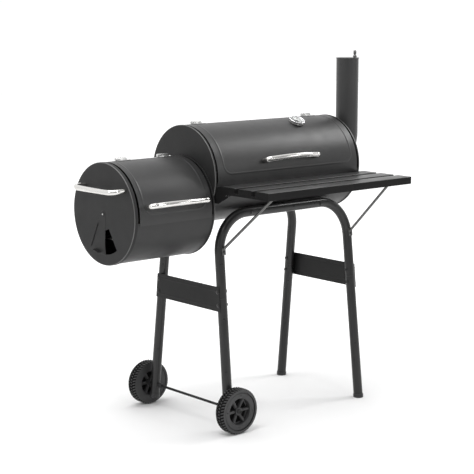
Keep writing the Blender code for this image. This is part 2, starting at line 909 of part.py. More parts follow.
def ring_profile(inner, outer, low, high):
    return [(inner, high), (outer, high), (outer, low), (inner, low)]


wheel_mid = (WHEEL_Y0 + WHEEL_Y1) / 2
half_wheel = (WHEEL_Y1 - WHEEL_Y0) / 2
WHEEL_PROFILE = [
    (HUB_BORE_R, half_wheel - 0.006),
    (0.0130, half_wheel - 0.006),
    (0.0130, 0.0045),
    (0.0400, 0.0045),
    (0.0415, half_wheel - 0.003),
    (0.0570, half_wheel - 0.003),
    (0.0590, half_wheel),
    (0.0640, half_wheel),
    (WHEEL_R, half_wheel - 0.009),
    (WHEEL_R, -half_wheel + 0.009),
    (0.0640, -half_wheel),
    (0.0415, -half_wheel),
    (0.0400, -0.0045),
    (0.0130, -0.0045),
    (0.0130, -half_wheel - 0.002),
    (HUB_BORE_R, -half_wheel - 0.002),
]
for place, sign in (("front", -1.0), ("rear", 1.0)):
    turned = TO_MINUS_Y if sign < 0 else TO_PLUS_Y
    centre = Vector((axle_x, sign * wheel_mid, WHEEL_R))
    spin = empty(f"wheel_{place}_axis", centre, ROOT)
    wheel = add_part(f"wheel_{place}", turned_mesh(WHEEL_PROFILE), BLACK_PLASTIC, centre, turned, spin)
    turn(wheel, 28)
    for number in range(6):
        angle = math.radians(60.0 * number + 31.7)
        window = add_cutter(
            f"wheel_{place}_window_{number}",
            cylinder_mesh(0.0093, 0.02, 8),
            centre + Vector((0.0267 * math.cos(angle), 0.0, 0.0267 * math.sin(angle))),
            TO_PLUS_Y,
            spin,
        )
        boolean(wheel, window)
    nut = add_part(
        f"axle_nut_{place}",
        turned_mesh(
            [
                (AXLE_R + 0.0004, 0.0052),
                (0.0062, 0.0052),
                (0.0078, 0.0036),
                (0.0078, 0.0),
                (AXLE_R + 0.0004, 0.0),
            ]
        ),
        BLACK_DARK,
        (axle_x, sign * (WHEEL_Y1 - 0.006 + 0.0008), WHEEL_R),
        turned,
    )
    turn(nut, 12)
    inner_face = LEG_Y0 - LEG_SPLAY * WHEEL_R - LEG_R - 0.0016
    sleeve = add_part(
        f"axle_sleeve_{place}",
        turned_mesh(ring_profile(AXLE_R + 0.0004, 0.0070, 0.0, 0.020)),
        BLACK_DARK,
        (axle_x, sign * (inner_face - 0.020), WHEEL_R),
        turned,
    )
    turn(sleeve, 12)


# ---------------------------------------------------------------- shelf
def slat_outline():
    """A folded channel, open below, with small bends at its top edges."""
    half = SLAT_W / 2
    bend = 0.002
    outer = [(-half, -SLAT_H), (-half, -bend)]
    outer += [(-half + bend * 0.3, -bend * 0.3), (-half + bend, 0.0)]
    outer += [(half - bend, 0.0), (half - bend * 0.3, -bend * 0.3)]
    outer += [(half, -bend), (half, -SLAT_H)]
    inner = [(half - SHEET, -SLAT_H), (half - SHEET, -bend), (half - bend, -SHEET)]
    inner += [(-half + bend, -SHEET), (-half + SHEET, -bend), (-half + SHEET, -SLAT_H)]
    return outer + inner


SLAT = plate_mesh(slat_outline(), SHELF_X1 - SHELF_X0 - 2 * (SHEET + GAP))
for number, place in enumerate(("rear", "middle", "front")):
    y = SHELF_REAR - SLAT_W / 2 - number * SLAT_PITCH
    centre = ((SHELF_X0 + SHELF_X1) / 2, y, SHELF_TOP)
    add_part(f"shelf_slat_{place}", SLAT.copy(), BLACK, centre, ACROSS, smooth=False)


def bracket_outline():
    """The shelf's end plate: notched between the slats, its back edge following the drum."""
    front = SHELF_REAR - 2 * SLAT_PITCH - SLAT_W
    low = SHELF_TOP - SLAT_H - MAIN_Z
    high = SHELF_TOP - MAIN_Z
    notch = high - 0.0150
    points = [(front, low + 0.002), (front, high - 0.001), (front + 0.001, high)]
    for number in (1, 0):
        edge = SHELF_REAR - number * SLAT_PITCH - SLAT_W
        gap_front = edge - (SLAT_PITCH - SLAT_W)
        points += [(gap_front, high), (gap_front, notch), (edge, notch), (edge, high)]
    reach = DRUM_R + GAP * 2
    points.append((SHELF_REAR, high))
    for step in range(7):
        z = high - 0.004 - (high - 0.004 - (low - 0.030)) * step / 6
        points.append((-math.sqrt(reach * reach - z * z), z))
    points += [(-0.160, low - 0.030), (-0.215, low), (front + 0.002, low)]
    return points


TAB_DEG = -17.0
for side, x, inward in (("left", SHELF_X0, 1.0), ("right", SHELF_X1, -1.0)):
    bracket = add_part(
        f"shelf_bracket_{side}",
        plate_mesh(bracket_outline(), SHEET),
        BLACK,
        (x + inward * SHEET / 2, 0.0, MAIN_Z),
        ACROSS,
        smooth=False,
    )
    tab_y, tab_z = around(DRUM_R + 0.0016, TAB_DEG, MAIN_Z)
    flap = add_cutter(
        f"bracket_tab_{side}",
        box_mesh(0.034, 0.030, 0.0015),
        (x + inward * 0.017, tab_y, tab_z),
        (math.radians(90.0 - TAB_DEG), 0.0, 0.0),
    )
    boolean(bracket, flap, "UNION")


def brace(name, top, foot):
    """A round stay with a flat lug at each end: one under the front slat, one on the leg."""
    top = Vector(top)
    foot = Vector(foot)
    along = (top - foot).normalized()
    made = add_part(name, rod_mesh([foot + along * 0.003, top - along * 0.003], 0.0042, 3), BLACK)
    upper = add_cutter(
        f"{name}_upper",
        box_mesh(0.016, 0.030, 0.0025),
        top + Vector((0.0, -0.004, 0.0)),
    )
    lower = add_cutter(
        f"{name}_lower",
        box_mesh(0.014, 0.0030, 0.026),
        foot + Vector((0.0, 0.0006, -0.006)),
        (-math.atan(LEG_SPLAY), 0.0, 0.0),
    )
    boolean(made, upper, "UNION")
    boolean(made, lower, "UNION")
    return made


BRACE_FOOT_Z = 0.5525
brace_top_z = SHELF_TOP - SLAT_H - GAP - 0.00125
brace_foot_y = leg_y(BRACE_FOOT_Z, True) - LEG_R - 0.0028
for side, top_x, foot_x in (
    ("left", -0.238, leg_x(BRACE_FOOT_Z, True) + 0.003),
    ("right", 0.2495, leg_x(BRACE_FOOT_Z, False)),
):
    brace(f"shelf_brace_{side}", (top_x, -0.3330, brace_top_z), (foot_x, brace_foot_y, BRACE_FOOT_Z))
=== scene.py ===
"""Looks of the offset smoker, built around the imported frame.

Lengths are metres. Pieces are laid out about the cooking drum's middle on the floor and shifted by
SHIFT into the frame's own coordinates. -Y is the front, +X runs from the firebox to the chimney.
"""

import math

import bmesh
import bpy
import numpy as np
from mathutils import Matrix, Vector


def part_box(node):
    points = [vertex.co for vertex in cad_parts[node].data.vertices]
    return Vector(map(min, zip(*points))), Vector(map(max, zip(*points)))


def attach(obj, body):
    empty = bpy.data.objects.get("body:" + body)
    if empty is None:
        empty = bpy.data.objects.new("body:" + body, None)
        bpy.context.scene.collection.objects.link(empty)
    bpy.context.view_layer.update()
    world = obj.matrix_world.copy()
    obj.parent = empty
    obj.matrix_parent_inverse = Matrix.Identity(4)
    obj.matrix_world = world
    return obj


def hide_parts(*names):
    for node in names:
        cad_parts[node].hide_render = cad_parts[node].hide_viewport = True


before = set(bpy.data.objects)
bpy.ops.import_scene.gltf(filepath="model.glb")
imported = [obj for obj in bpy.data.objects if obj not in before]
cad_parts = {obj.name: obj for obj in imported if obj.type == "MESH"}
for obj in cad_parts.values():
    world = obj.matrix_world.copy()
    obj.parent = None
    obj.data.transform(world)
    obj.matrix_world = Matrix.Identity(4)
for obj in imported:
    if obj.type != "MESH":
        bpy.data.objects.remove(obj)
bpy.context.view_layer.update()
scene = bpy.context.scene

SHIFT = Vector((0.10865, 0.0707, 0.0))
SHEET = 0.0012
GAP = 0.0003

# drums: lids are rolled outside the tubs, and angles run from the front over the top
DRUM_R = 0.151
TUB_R = 0.149
MAIN_Z = 0.7655
FIRE_Z = 0.6741
MAIN_X = (-0.303, 0.308)
FIRE_X = (-0.601, -0.3036)
MAIN_LID_X = (-0.2915, 0.2965)
FIRE_LID_X = (-0.5815, -0.3151)
LID_DEG = (-8.0, 96.6)
TUB_DEG = (-5.0, -260.8)
HINGE_DEG = 98.0
CAP_CORNER = 0.0022
CAP_LIP = 0.0055
END_CORNER = 0.0028
END_LIP = 0.012

# the bead pressed into each lid
MAIN_BEAD_X = (-0.266, 0.272)
FIRE_BEAD_X = (-0.566, -0.335)
BEAD_DEG = (4.3, 88.0)
BEAD_CORNER = 0.030
BEAD_HALF = 0.0042
BEAD_HEIGHT = 0.0008

# the air vent's fan, the damper over it and the tab to move it by
VENT_R = (0.047, 0.118)
VENT_DEG = (-86.0, -57.5)
DAMPER_R = 0.119
DAMPER_HEAD_R = 0.012
DAMPER_DEG = -105.0
DAMPER_HALF_DEG = 17.0
TAB_WIDTH = 0.0256

# thermometer and chimney
DIAL_X = 0.112
DIAL_DEG = 67.0
FLUE_X = 0.401
FLUE_R = 0.0367
FLUE_TOP = 1.0975
COLLAR_X = MAIN_X[1] + GAP
COLLAR_THICK = 0.0018
SPINDLE = (0.417, -0.018, FLUE_TOP)

# stand
LEG_R = 0.015
LEG_WALL = 0.0014
RAIL_Z = 0.650
BEND_R = 0.115
SEAM_Z = 0.401
PANEL_Z = (0.363, 0.439)
PANEL_BEAD_Z = (0.3760, 0.4260)
PANEL_BEAD_HALF = 0.0032
PANEL_BEAD_HEIGHT = 0.0009
STAY_FOOT_Z = 0.5525

# wheels
WHEEL_R = 0.070
WHEEL_Y = 0.217
WHEEL_HALF = 0.0185
AXLE_X = -0.278375
TREAD_BLOCKS = 46
TREAD_DEPTH = 0.0024
SHOULDER_DROP = 0.0040

# shelf
SHELF_X = (-0.2982, 0.3032)
SHELF_TOP = 0.7455
SLAT_H = 0.0225
SLAT_HALF = 0.0285
SLAT_Y = {"rear": -0.173, "middle": -0.247, "front": -0.321}

# fastenings: radius, height and washer radius of a head; radius and height of a nut
PANEL_BOLT = (0.0048, 0.0026, 0.0066)
PANEL_NUT = (0.0056, 0.0045)
SADDLE_BOLT = (0.0046, 0.0026, 0.0062)
BRACKET_BOLT = (0.0030, 0.0020)
STAY_BOLT = (0.0046, 0.0030)
STAY_NUT = (0.0050, 0.0040)
FOOT_NUT = (0.0054, 0.0042)
RIVET = (0.0034, 0.0016)
COLLAR_SCREW = (0.0034, 0.0018)

# handles: half length, stand-off, bow of the middle and corner radius
BAR_R = 0.008
LID_BOW = (0.105, 0.028, 0.019, 0.014)
END_BOW = (0.0962, 0.0457, 0.0013, 0.0257)
END_BOW_DROOP = 3.4

# studio
BACKDROP_GLOW = 0.45
BACKDROP_WAY = (0.66, 0.75, 0.0)
CAMERA_PLACE = (-2.8115, -3.1669, 1.2716)
CAMERA_DEG = (80.4839, 0.0, -41.1941)
CAMERA_LENS = 105.04

SIDES = ("left", "right")
X = (1.0, 0.0, 0.0)
Y = (0.0, 1.0, 0.0)
Z = (0.0, 0.0, 1.0)
LEFT = (-1.0, 0.0, 0.0)


# -------- materials
def nodes_of(name):
    made = bpy.data.materials.new(name)
    made.use_nodes = True
    tree = made.node_tree
    return made, tree, tree.nodes["Principled BSDF"]


def add_node(tree, kind, **values):
    """A new node with its inputs set; an underscore stands for a space in an input's name."""
    made = tree.nodes.new(f"ShaderNode{kind}")
    for name, value in values.items():
        made.inputs[name.replace("_", " ")].default_value = value
    return made


def plug(source, node, name):
    """Links a node's output to another node's input."""
    source.id_data.links.new(source, node.inputs[name])


def noise(tree, scale, detail=2.0, stretch=None):
    """A noise texture in the piece's own coordinates, stretched along an axis for brushed metal."""
    source = add_node(tree, "TexCoord").outputs["Object"]
    made = add_node(tree, "TexNoise", Scale=scale, Detail=detail)
    if stretch:
        mapping = add_node(tree, "Mapping", Scale=stretch)
        plug(source, mapping, "Vector")
        source = mapping.outputs["Vector"]
    plug(source, made, "Vector")
    return made.outputs["Fac"]


def spread(tree, source, low, high, start=0.3, end=0.7):
    """Maps a value from between start and end to between low and high."""
    made = add_node(tree, "MapRange", From_Min=start, From_Max=end, To_Min=low, To_Max=high)
    plug(source, made, "Value")
    return made.outputs["Result"]


def two_tone(tree, source, dark, light):
    ramp = add_node(tree, "ValToRGB")
    for stop, place, colour in zip(ramp.color_ramp.elements, (0.3, 0.7), (dark, light)):
        stop.position = place
        stop.color = (*colour, 1.0)
    plug(source, ramp, "Fac")
    return ramp.outputs["Color"]


def bumps(tree, shader, source, strength, distance):
    made = add_node(tree, "Bump", Strength=strength, Distance=distance)
    plug(source, made, "Height")
    plug(made.outputs["Normal"], shader, "Normal")


def paint(name, dark, light, rough, grain=0.35, gloss=0.5, top_gloss=None):
    """Satin paint with faint mottling and orange peel; top_gloss is for faces that look up."""
    made, tree, shader = nodes_of(name)
    shader.inputs["Specular IOR Level"].default_value = gloss
    if top_gloss is not None:
        facing = add_node(tree, "NewGeometry")
        parts = add_node(tree, "SeparateXYZ")
        plug(facing.outputs["Normal"], parts, "Vector")
        worn = spread(tree, parts.outputs["Z"], gloss, top_gloss, 0.3, 0.9)
        plug(worn, shader, "Specular IOR Level")
    tint = two_tone(tree, noise(tree, 7.0, 4.0), dark, light)
    plug(tint, shader, "Base Color")
    uneven = spread(tree, noise(tree, 26.0, 5.0), rough - 0.03, rough + 0.04)
    plug(uneven, shader, "Roughness")
    bumps(tree, shader, noise(tree, 700.0, 3.0), grain, 0.00025)
    return made


def metal(name, dark, light, rough, stretch=(1.0, 1.0, 1.0), strength=0.2):
    """Bare metal whose fine grain can be stretched into brush marks."""
    made, tree, shader = nodes_of(name)
    shader.inputs["Metallic"].default_value = 1.0
    grain = noise(tree, 420.0, 4.0, stretch)
    plug(two_tone(tree, grain, dark, light), shader, "Base Color")
    plug(spread(tree, grain, rough - 0.05, rough + 0.07), shader, "Roughness")
    bumps(tree, shader, grain, strength, 0.00012)
    return made


def stainless(name, stretch):
    return metal(name, (0.70, 0.69, 0.67), (0.80, 0.79, 0.77), 0.15, stretch, 0.12)


def dial_paper():
    made, tree, shader = nodes_of("dial_print")
    tint = two_tone(tree, noise(tree, 160.0, 3.0), (0.80, 0.80, 0.78), (0.88, 0.88, 0.86))
    plug(tint, shader, "Base Color")
    plug(spread(tree, noise(tree, 300.0), 0.42, 0.52), shader, "Roughness")
    return made


def clear_glass():
    made, tree, shader = nodes_of("clear_glass")
    shader.inputs["Transmission Weight"].default_value = 1.0
    shader.inputs["IOR"].default_value = 1.45
    plug(spread(tree, noise(tree, 90.0), 0.01, 0.04), shader, "Roughness")
    tint = two_tone(tree, noise(tree, 40.0), (0.95, 0.97, 0.97), (0.98, 0.99, 0.99))
    plug(tint, shader, "Base Color")
    return made


def floor_finish():
    """A pale floor that glows towards its far side, as a lit studio backdrop does."""
    made, tree, shader = nodes_of("pale_floor")
    tint = two_tone(tree, noise(tree, 1.5, 3.0), (0.90, 0.90, 0.90), (0.92, 0.92, 0.92))
    plug(tint, shader, "Base Color")
    shader.inputs["Roughness"].default_value = 0.9
    shader.inputs["Specular IOR Level"].default_value = 0.1
    where = add_node(tree, "TexCoord")
    behind = add_node(tree, "VectorMath")
    behind.operation = "DOT_PRODUCT"
    behind.inputs[1].default_value = BACKDROP_WAY
    plug(where.outputs["Object"], behind, 0)
    glow = spread(tree, behind.outputs["Value"], 0.0, BACKDROP_GLOW, 0.4, 2.6)
    shader.inputs["Emission Color"].default_value = (1.0, 1.0, 1.0, 1.0)
    plug(glow, shader, "Emission Strength")
    return made


BLACK = paint("satin_black_paint", (0.020, 0.020, 0.0205), (0.027, 0.0268, 0.0265), 0.40)
# a darker, more matte copy of the satin black: painted shade on the end plates that face -X; the damper
# and the leg plugs share it
END_SHADED_BLACK = paint("shaded_matte_black_paint", (0.012, 0.012, 0.0123), (0.016, 0.0159, 0.0158), 0.50, 0.35, 0.30)
# a slightly darker, less glossy copy of the satin black: painted shade on the drums' lower halves
TUB_SHADED_BLACK = paint("tub_shaded_black_paint", (0.018, 0.018, 0.0184), (0.024, 0.0238, 0.0236), 0.41, 0.35, 0.40)
# a lighter black for the caps' rolled corners: a painted highlight
RIM_HIGHLIGHT = paint("painted_rim_highlight", (0.080, 0.080, 0.0795), (0.125, 0.125, 0.1235), 0.34, 0.3)
# a darker copy of the satin black: painted shade on the side panels low under the drum, and on the axle
PANEL_SHADED_BLACK = paint("panel_shaded_black_paint", (0.011, 0.011, 0.0112), (0.015, 0.0149, 0.0148), 0.48, 0.3, 0.2)
TUBE_BLACK = paint("tube_black_paint", (0.014, 0.014, 0.0143), (0.020, 0.0198, 0.0196), 0.30, 0.25, 0.42)
# a darker copy of the satin black: painted shade on the shelf's faces, its tops glossier; the shelf
# brackets share it
SHELF_SHADED_BLACK = paint(
    "shelf_shaded_black_paint", (0.009, 0.009, 0.0092), (0.013, 0.0129, 0.0128), 0.36, 0.3, 0.10, 0.65
)
RUBBER = paint("wheel_black_plastic", (0.026, 0.026, 0.027), (0.036, 0.036, 0.037), 0.44, 0.5)
# near-black painted shade: the tread's groove floors, the discs behind the wheels' spokes and the blocks
# in the shelf's gaps
SHADE_BLACK = paint("painted_shade_black", (0.002, 0.002, 0.002), (0.004, 0.004, 0.004), 0.70, 0.5, 0.1)
PLASTIC = paint("moulded_black_plastic", (0.018, 0.018, 0.019), (0.025, 0.025, 0.026), 0.42, 0.3)
STAINLESS_X = stainless("brushed_stainless", (0.06, 1.0, 1.0))
STAINLESS_Y = stainless("brushed_stainless_end", (1.0, 0.06, 1.0))
CHROME = metal("polished_chrome", (0.80, 0.80, 0.81), (0.90, 0.90, 0.91), 0.10, strength=0.04)
ZINC = metal("bright_zinc", (0.70, 0.70, 0.69), (0.86, 0.86, 0.85), 0.27, strength=0.25)
WIRE = metal("plated_wire", (0.42, 0.42, 0.41), (0.56, 0.56, 0.55), 0.30)
ROD_GREY = metal("plated_rod", (0.11, 0.11, 0.108), (0.17, 0.17, 0.165), 0.34)
DARK_STEEL = metal("dark_steel", (0.10, 0.10, 0.10), (0.16, 0.16, 0.155), 0.38)
DIAL = dial_paper()
GLASS = clear_glass()


# -------- mesh building
class Shape:
    """Vertices and faces that grow as simple forms are added."""

    def __init__(self):
        self.verts = []
        self.faces = []

    def add(self, verts, faces):
        base = len(self.verts)
        self.verts.extend(tuple(v) for v in verts)
        self.faces.extend(tuple(base + i for i in face) for face in faces)
        return self


def mesh_object(name, shape):
    """A shape as an object in the frame's coordinates, its faces turned outwards."""
    data = bpy.data.meshes.new(name)
    data.from_pydata([Vector(v) + SHIFT for v in shape.verts], [], shape.faces)
    grid = bmesh.new()
    grid.from_mesh(data)
    bmesh.ops.remove_doubles(grid, verts=grid.verts, dist=1e-6)
    bmesh.ops.recalc_face_normals(grid, faces=grid.faces)
    grid.to_mesh(data)
    grid.free()
    made = bpy.data.objects.new(name, data)
    scene.collection.objects.link(made)
    return made


def shade(data, angle):
    """Smooth shading with edges sharper than the angle kept crisp."""
    data.shade_smooth()
    data.set_sharp_from_angle(angle=math.radians(angle))


def piece(name, shape, look, body="base", hides=(), angle=35.0, smooth=True):
    made = mesh_object(name, shape)
    made.data.materials.append(look)
    if smooth:
        shade(made.data, angle)
    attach(made, body)
    if hides:
        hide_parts(*hides)
    return made


def cut(target, tools, angle=35.0):
    """Takes each tool's shape out of a finished piece."""
    for shape in tools:
        tool = mesh_object("cutter", shape)
        change = target.modifiers.new("cut", "BOOLEAN")
        change.solver = "EXACT"
        change.object = tool
        bpy.context.view_layer.update()
        graph = bpy.context.evaluated_depsgraph_get()
        result = bpy.data.meshes.new_from_object(target.evaluated_get(graph))
        target.modifiers.clear()
        target.data = result
        bpy.data.objects.remove(tool, do_unlink=True)
    shade(target.data, angle)
    return target


def around(radius, degrees, centre_z=0.0):
    """(y, z) on a circle about a drum's axis: 0 degrees is the front and 90 the top."""
    angle = math.radians(degrees)
    return (-radius * math.cos(angle), centre_z + radius * math.sin(angle))


def arc(radius, start, end, steps):
    """(y, z) points along a circle about a drum's axis."""
    return [around(radius, start + (end - start) * i / steps) for i in range(steps + 1)]


def skin_spot(x, degrees, axis_z, proud=0.0):
    """A place on a drum's skin and the direction straight out of it."""
    y, z = around(DRUM_R + proud, degrees, axis_z)
    return Vector((x, y, z)), Vector((0.0, y, z - axis_z)).normalized()


def basis(direction, hint=Z):
    """Two unit vectors square to a direction; the second leans towards the hint."""
    ahead = Vector(direction).normalized()
    side = Vector(hint).cross(ahead)
    if side.length < 1e-4:
        side = Vector(X).cross(ahead)
    side.normalize()
    return side, ahead.cross(side), ahead


def fillet(points, radius, steps=3):
    """A flat polyline with its inner corners rounded."""
    made = [points[0]]
    for before, here, after in zip(points, points[1:], points[2:]):
        corner = Vector(here)
        back = Vector(before) - corner
        on = Vector(after) - corner
        start = corner + back.normalized() * min(radius, back.length * 0.45)
        end = corner + on.normalized() * min(radius, on.length * 0.45)
        for i in range(steps + 1):
            t = i / steps
            made.append(tuple(start * (1 - t) ** 2 + corner * 2 * t * (1 - t) + end * t * t))
    made.append(points[-1])
    return made


def band_faces(low, high):
    """Faces between two closed loops with equally many vertices, given by their indices."""
    count = len(low)
    return [(low[k], low[(k + 1) % count], high[(k + 1) % count], high[k]) for k in range(count)]


def prism_faces(count):
    """Faces of a prism between two outlines of the same length, one after the other."""
    ends = range(count), range(count, 2 * count)
    return [tuple(ends[0]), tuple(ends[1])] + band_faces(*ends)


def lathe(profile, steps, place, direction, ring=False, lobes=0, depth=0.0):
    """Turns (radius, height) points about a direction through a place."""
    side, up, ahead = basis(direction)
    place = Vector(place)
    verts = []
    faces = []
    rows = []
    for radius, height in profile:
        if radius < 1e-6:
            rows.append([len(verts)])
            verts.append(place + ahead * height)
            continue
        row = []
        for i in range(steps):
            turn = 2 * math.pi * i / steps
            here = radius * (1.0 + depth * math.cos(lobes * turn))
            row.append(len(verts))
            flat = side * here * math.cos(turn) + up * here * math.sin(turn)
            verts.append(place + flat + ahead * height)
        rows.append(row)
    pairs = list(zip(rows, rows[1:]))
    if ring:
        pairs.append((rows[-1], rows[0]))
    for low, high in pairs:
        if len(low) == len(high) == steps:
            faces += band_faces(low, high)
        elif len(high) == steps:
            faces += [(low[0], high[i], high[(i + 1) % steps]) for i in range(steps)]
        elif len(low) == steps:
            faces += [(low[i], low[(i + 1) % steps], high[0]) for i in range(steps)]
    return verts, faces


def turned(profile, steps, place, direction, **more):
    return Shape().add(*lathe(profile, steps, place, direction, **more))


def rod(radius, low, high):
    """The profile of a plain cylinder."""
    return [(0.0, low), (radius, low), (radius, high), (0.0, high)]


def sweep(points, radius, sides=20, wall=0.0, hint=Y, closed=False):
    """A round bar, or with a wall a tube, along a line of points."""
    points = [Vector(p) for p in points]
    count = len(points)
    verts = []
    faces = []
    side = None
    radii = [radius, radius - wall] if wall else [radius]
    loops = {r: [] for r in radii}
    for i, point in enumerate(points):
        if closed:
            ahead = points[(i + 1) % count] - points[i - 1]
        else:
            ahead = points[min(i + 1, count - 1)] - points[max(i - 1, 0)]
        ahead.normalize()
        if side is None:
            side = basis(ahead, hint)[0]
        side = (side - ahead * side.dot(ahead)).normalized()
        up = ahead.cross(side)
        for r in radii:
            row = []
            for k in range(sides):
                turn = 2 * math.pi * k / sides
                row.append(len(verts))
                verts.append(point + side * r * math.cos(turn) + up * r * math.sin(turn))
            loops[r].append(row)
    for r in radii:
        rows = loops[r]
        pairs = list(zip(rows, rows[1:]))
        if closed:
            pairs.append((rows[-1], rows[0]))
        for low, high in pairs:
            faces += band_faces(low, high)
    if closed:
        return verts, faces
    for end in (0, -1):
        if wall:
            faces += band_faces(loops[radii[0]][end], loops[radii[1]][end])
        else:
            faces.append(tuple(loops[radius][end]))
    return verts, faces


def extrude(outline, place, across, up, ahead, depth):
    """A flat outline given thickness along a direction."""
    place = Vector(place)
    across, up, ahead = Vector(across), Vector(up), Vector(ahead)
    count = len(outline)
    verts = []
    for height in (0.0, depth):
        for a, b in outline:
            verts.append(place + across * a + up * b + ahead * height)
    return verts, prism_faces(count)


def sheet_faces(rows, columns):
    """Faces of a two-layer sheet: the outer side, the inner side and the four edges."""
    layer = rows * columns
    faces = []
    for i in range(rows - 1):
        for j in range(columns - 1):
            a = i * columns + j
            b = layer + a
            faces.append((a, a + 1, a + columns + 1, a + columns))
            faces.append((b, b + columns, b + columns + 1, b + 1))
    for i in range(rows - 1):
        for j in (0, columns - 1):
            a = i * columns + j
            faces.append((a, a + columns, layer + a + columns, layer + a))
    for j in range(columns - 1):
        for i in (0, rows - 1):
            a = i * columns + j
            faces.append((a, a + 1, layer + a + 1, layer + a))
    return faces


def rounded_rectangle(x_reach, y_reach, radius, steps):
    """(x, y) points round a rectangle with rounded corners about the origin."""
    loop = []
    for x_sign, y_sign, turn in ((1, 1, 0), (-1, 1, 90), (-1, -1, 180), (1, -1, 270)):
        for step in range(steps + 1):
            angle = math.radians(turn + 90.0 * step / steps)
            x = x_sign * (x_reach - radius) + radius * math.cos(angle)
            loop.append((x, y_sign * (y_reach - radius) + radius * math.sin(angle)))
    return loop


def block(centre, size, rounding=0.0001):
    """A box whose upright edges and rims are rounded."""
    cx, cy, cz = centre
    sx, sy, sz = (s / 2 for s in size)
    loop = rounded_rectangle(sx, sy, rounding, 3)
    rim = rounding * 0.6
    rows = [(-sz, rim), (-sz + rim, 0.0), (sz - rim, 0.0), (sz, rim)]
    verts = []
    faces = []
    count = len(loop)
    for height, inset in rows:
        for x, y in loop:
            verts.append((cx + x * (1.0 - inset / sx), cy + y * (1.0 - inset / sy), cz + height))
    levels = [range(start, start + count) for start in range(0, len(verts), count)]
    for low, high in zip(levels, levels[1:]):
        faces += band_faces(low, high)
    return verts, faces + [tuple(levels[0]), tuple(levels[-1])]


def spaced(start, end, bands, coarse, fine):
    """Stations from start to end, fine inside the bands and coarse elsewhere."""
    places = [start]
    here = start
    while here < end - 1e-9:
        inside = any(low - fine <= here <= high for low, high in bands)
        step = fine if inside else coarse
        if not inside:
            ahead = [low - here for low, _ in bands if low > here]
            if ahead:
                step = min(step, max(min(ahead), fine))
        here = min(here + step, end)
        places.append(here)
    return places


# -------- sheet drums
def rolled(x_stations, degrees, radius, axis_z, press=None):
    """A rolled sheet with thickness; press gives how far each spot stands proud."""
    verts = []
    for depth in (0.0, SHEET):
        for x in x_stations:
            for angle in degrees:
                lift = press(x, math.radians(angle) * radius) if press else 0.0
                y, z = around(radius - depth + lift, angle, axis_z)
                verts.append((x, y, z))
    return verts, sheet_faces(len(x_stations), len(degrees))


def frame_bead(x_low, x_high, arc_low, arc_high):
    """A pressed bead that follows a rounded rectangle on the sheet."""
    cx = (x_low + x_high) / 2
    cy = (arc_low + arc_high) / 2
    hx = (x_high - x_low) / 2 - BEAD_CORNER
    hy = (arc_high - arc_low) / 2 - BEAD_CORNER

    def press(x, along):
        dx = abs(x - cx) - hx
        dy = abs(along - cy) - hy
        outside = math.hypot(max(dx, 0.0), max(dy, 0.0))
        distance = outside + min(max(dx, dy), 0.0) - BEAD_CORNER
        if abs(distance) >= BEAD_HALF:
            return -BEAD_HEIGHT
        return -BEAD_HEIGHT + BEAD_HEIGHT * 0.5 * (1.0 + math.cos(math.pi * distance / BEAD_HALF))

    return press


def bead_bands(low, high):
    """The stretches near a bead's two ends, where the sheet has to be finely divided."""
    return [(low - BEAD_HALF, low + BEAD_CORNER), (high - BEAD_CORNER, high + BEAD_HALF)]


def drum_lid(body, ends, axis_z, bead_x):
    bead_arc = [math.radians(angle) * DRUM_R for angle in BEAD_DEG]
    edge_arc = [math.radians(angle) * DRUM_R for angle in LID_DEG]
    x_places = spaced(*ends, bead_bands(*bead_x), 0.012, 0.0012)
    arcs = spaced(*edge_arc, bead_bands(*bead_arc), 0.0045, 0.0012)
    degrees = [math.degrees(along / DRUM_R) for along in arcs]
    shape = Shape().add(*rolled(x_places, degrees, DRUM_R, axis_z, frame_bead(*bead_x, *bead_arc)))
    return piece(f"{body}_skin", shape, BLACK, body, [body], angle=50.0)


def drum_tub(node, ends, axis_z):
    degrees = list(np.linspace(*TUB_DEG, 130))
    stations = list(np.linspace(ends[0] + 0.0015, ends[1] - 0.0015, 9))
    shape = Shape().add(*rolled(stations, degrees, TUB_R, axis_z))
    piece(f"{node}_skin", shape, TUB_SHADED_BLACK, "base", [node])


def end_cap(node, x, facing, axis_z, look, lip=CAP_LIP, corner=CAP_CORNER):
    """A pressed end cap with a rolled corner; its inner rings keep the disc's shading flat."""
    rings = (DRUM_R - 0.0165, DRUM_R - 0.0125, DRUM_R - corner)
    profile = [(0.0, 0.0)] + [(radius, 0.0) for radius in rings]
    for i in range(1, 7):
        angle = math.radians(15.0 * i)
        profile.append((DRUM_R - corner + corner * math.sin(angle), -corner + corner * math.cos(angle)))
    profile += [(DRUM_R, -lip), (DRUM_R - SHEET, -lip), (DRUM_R - SHEET, -corner)]
    profile += [(radius, -SHEET) for radius in reversed(rings)]
    profile.append((0.0, -SHEET))
    shape = turned(profile, 144, (x, 0.0, axis_z), (facing, 0.0, 0.0))
    return piece(f"{node}_skin", shape, look, "base", [node], 30.0)


def paint_rim_highlight(target, axis_z, corner):
    """A painted highlight: the faces of a cap's rolled corner get a lighter paint, so the corner is
    lighter.
    """
    target.data.materials.append(RIM_HIGHLIGHT)
    for face in target.data.polygons:
        spot = face.center - SHIFT
        reach = math.hypot(spot.y, spot.z - axis_z)
        if reach > DRUM_R - corner and 0.30 < abs(face.normal.x) < 0.97:
            face.material_index = 1


def passage():
    """The opening between the two drums."""
    return Shape().add(*block((MAIN_X[0], 0.0, 0.724), (0.03, 0.200, 0.100)))


main_lid = drum_lid("main_lid", MAIN_LID_X, MAIN_Z, MAIN_BEAD_X)
drum_lid("firebox_lid", FIRE_LID_X, FIRE_Z, FIRE_BEAD_X)
cut(main_lid, [turned(rod(0.0042, -0.012, 0.012), 20, *skin_spot(DIAL_X, DIAL_DEG, MAIN_Z))], 50.0)
drum_tub("main_tub", MAIN_X, MAIN_Z)
drum_tub("firebox_tub", FIRE_X, FIRE_Z)

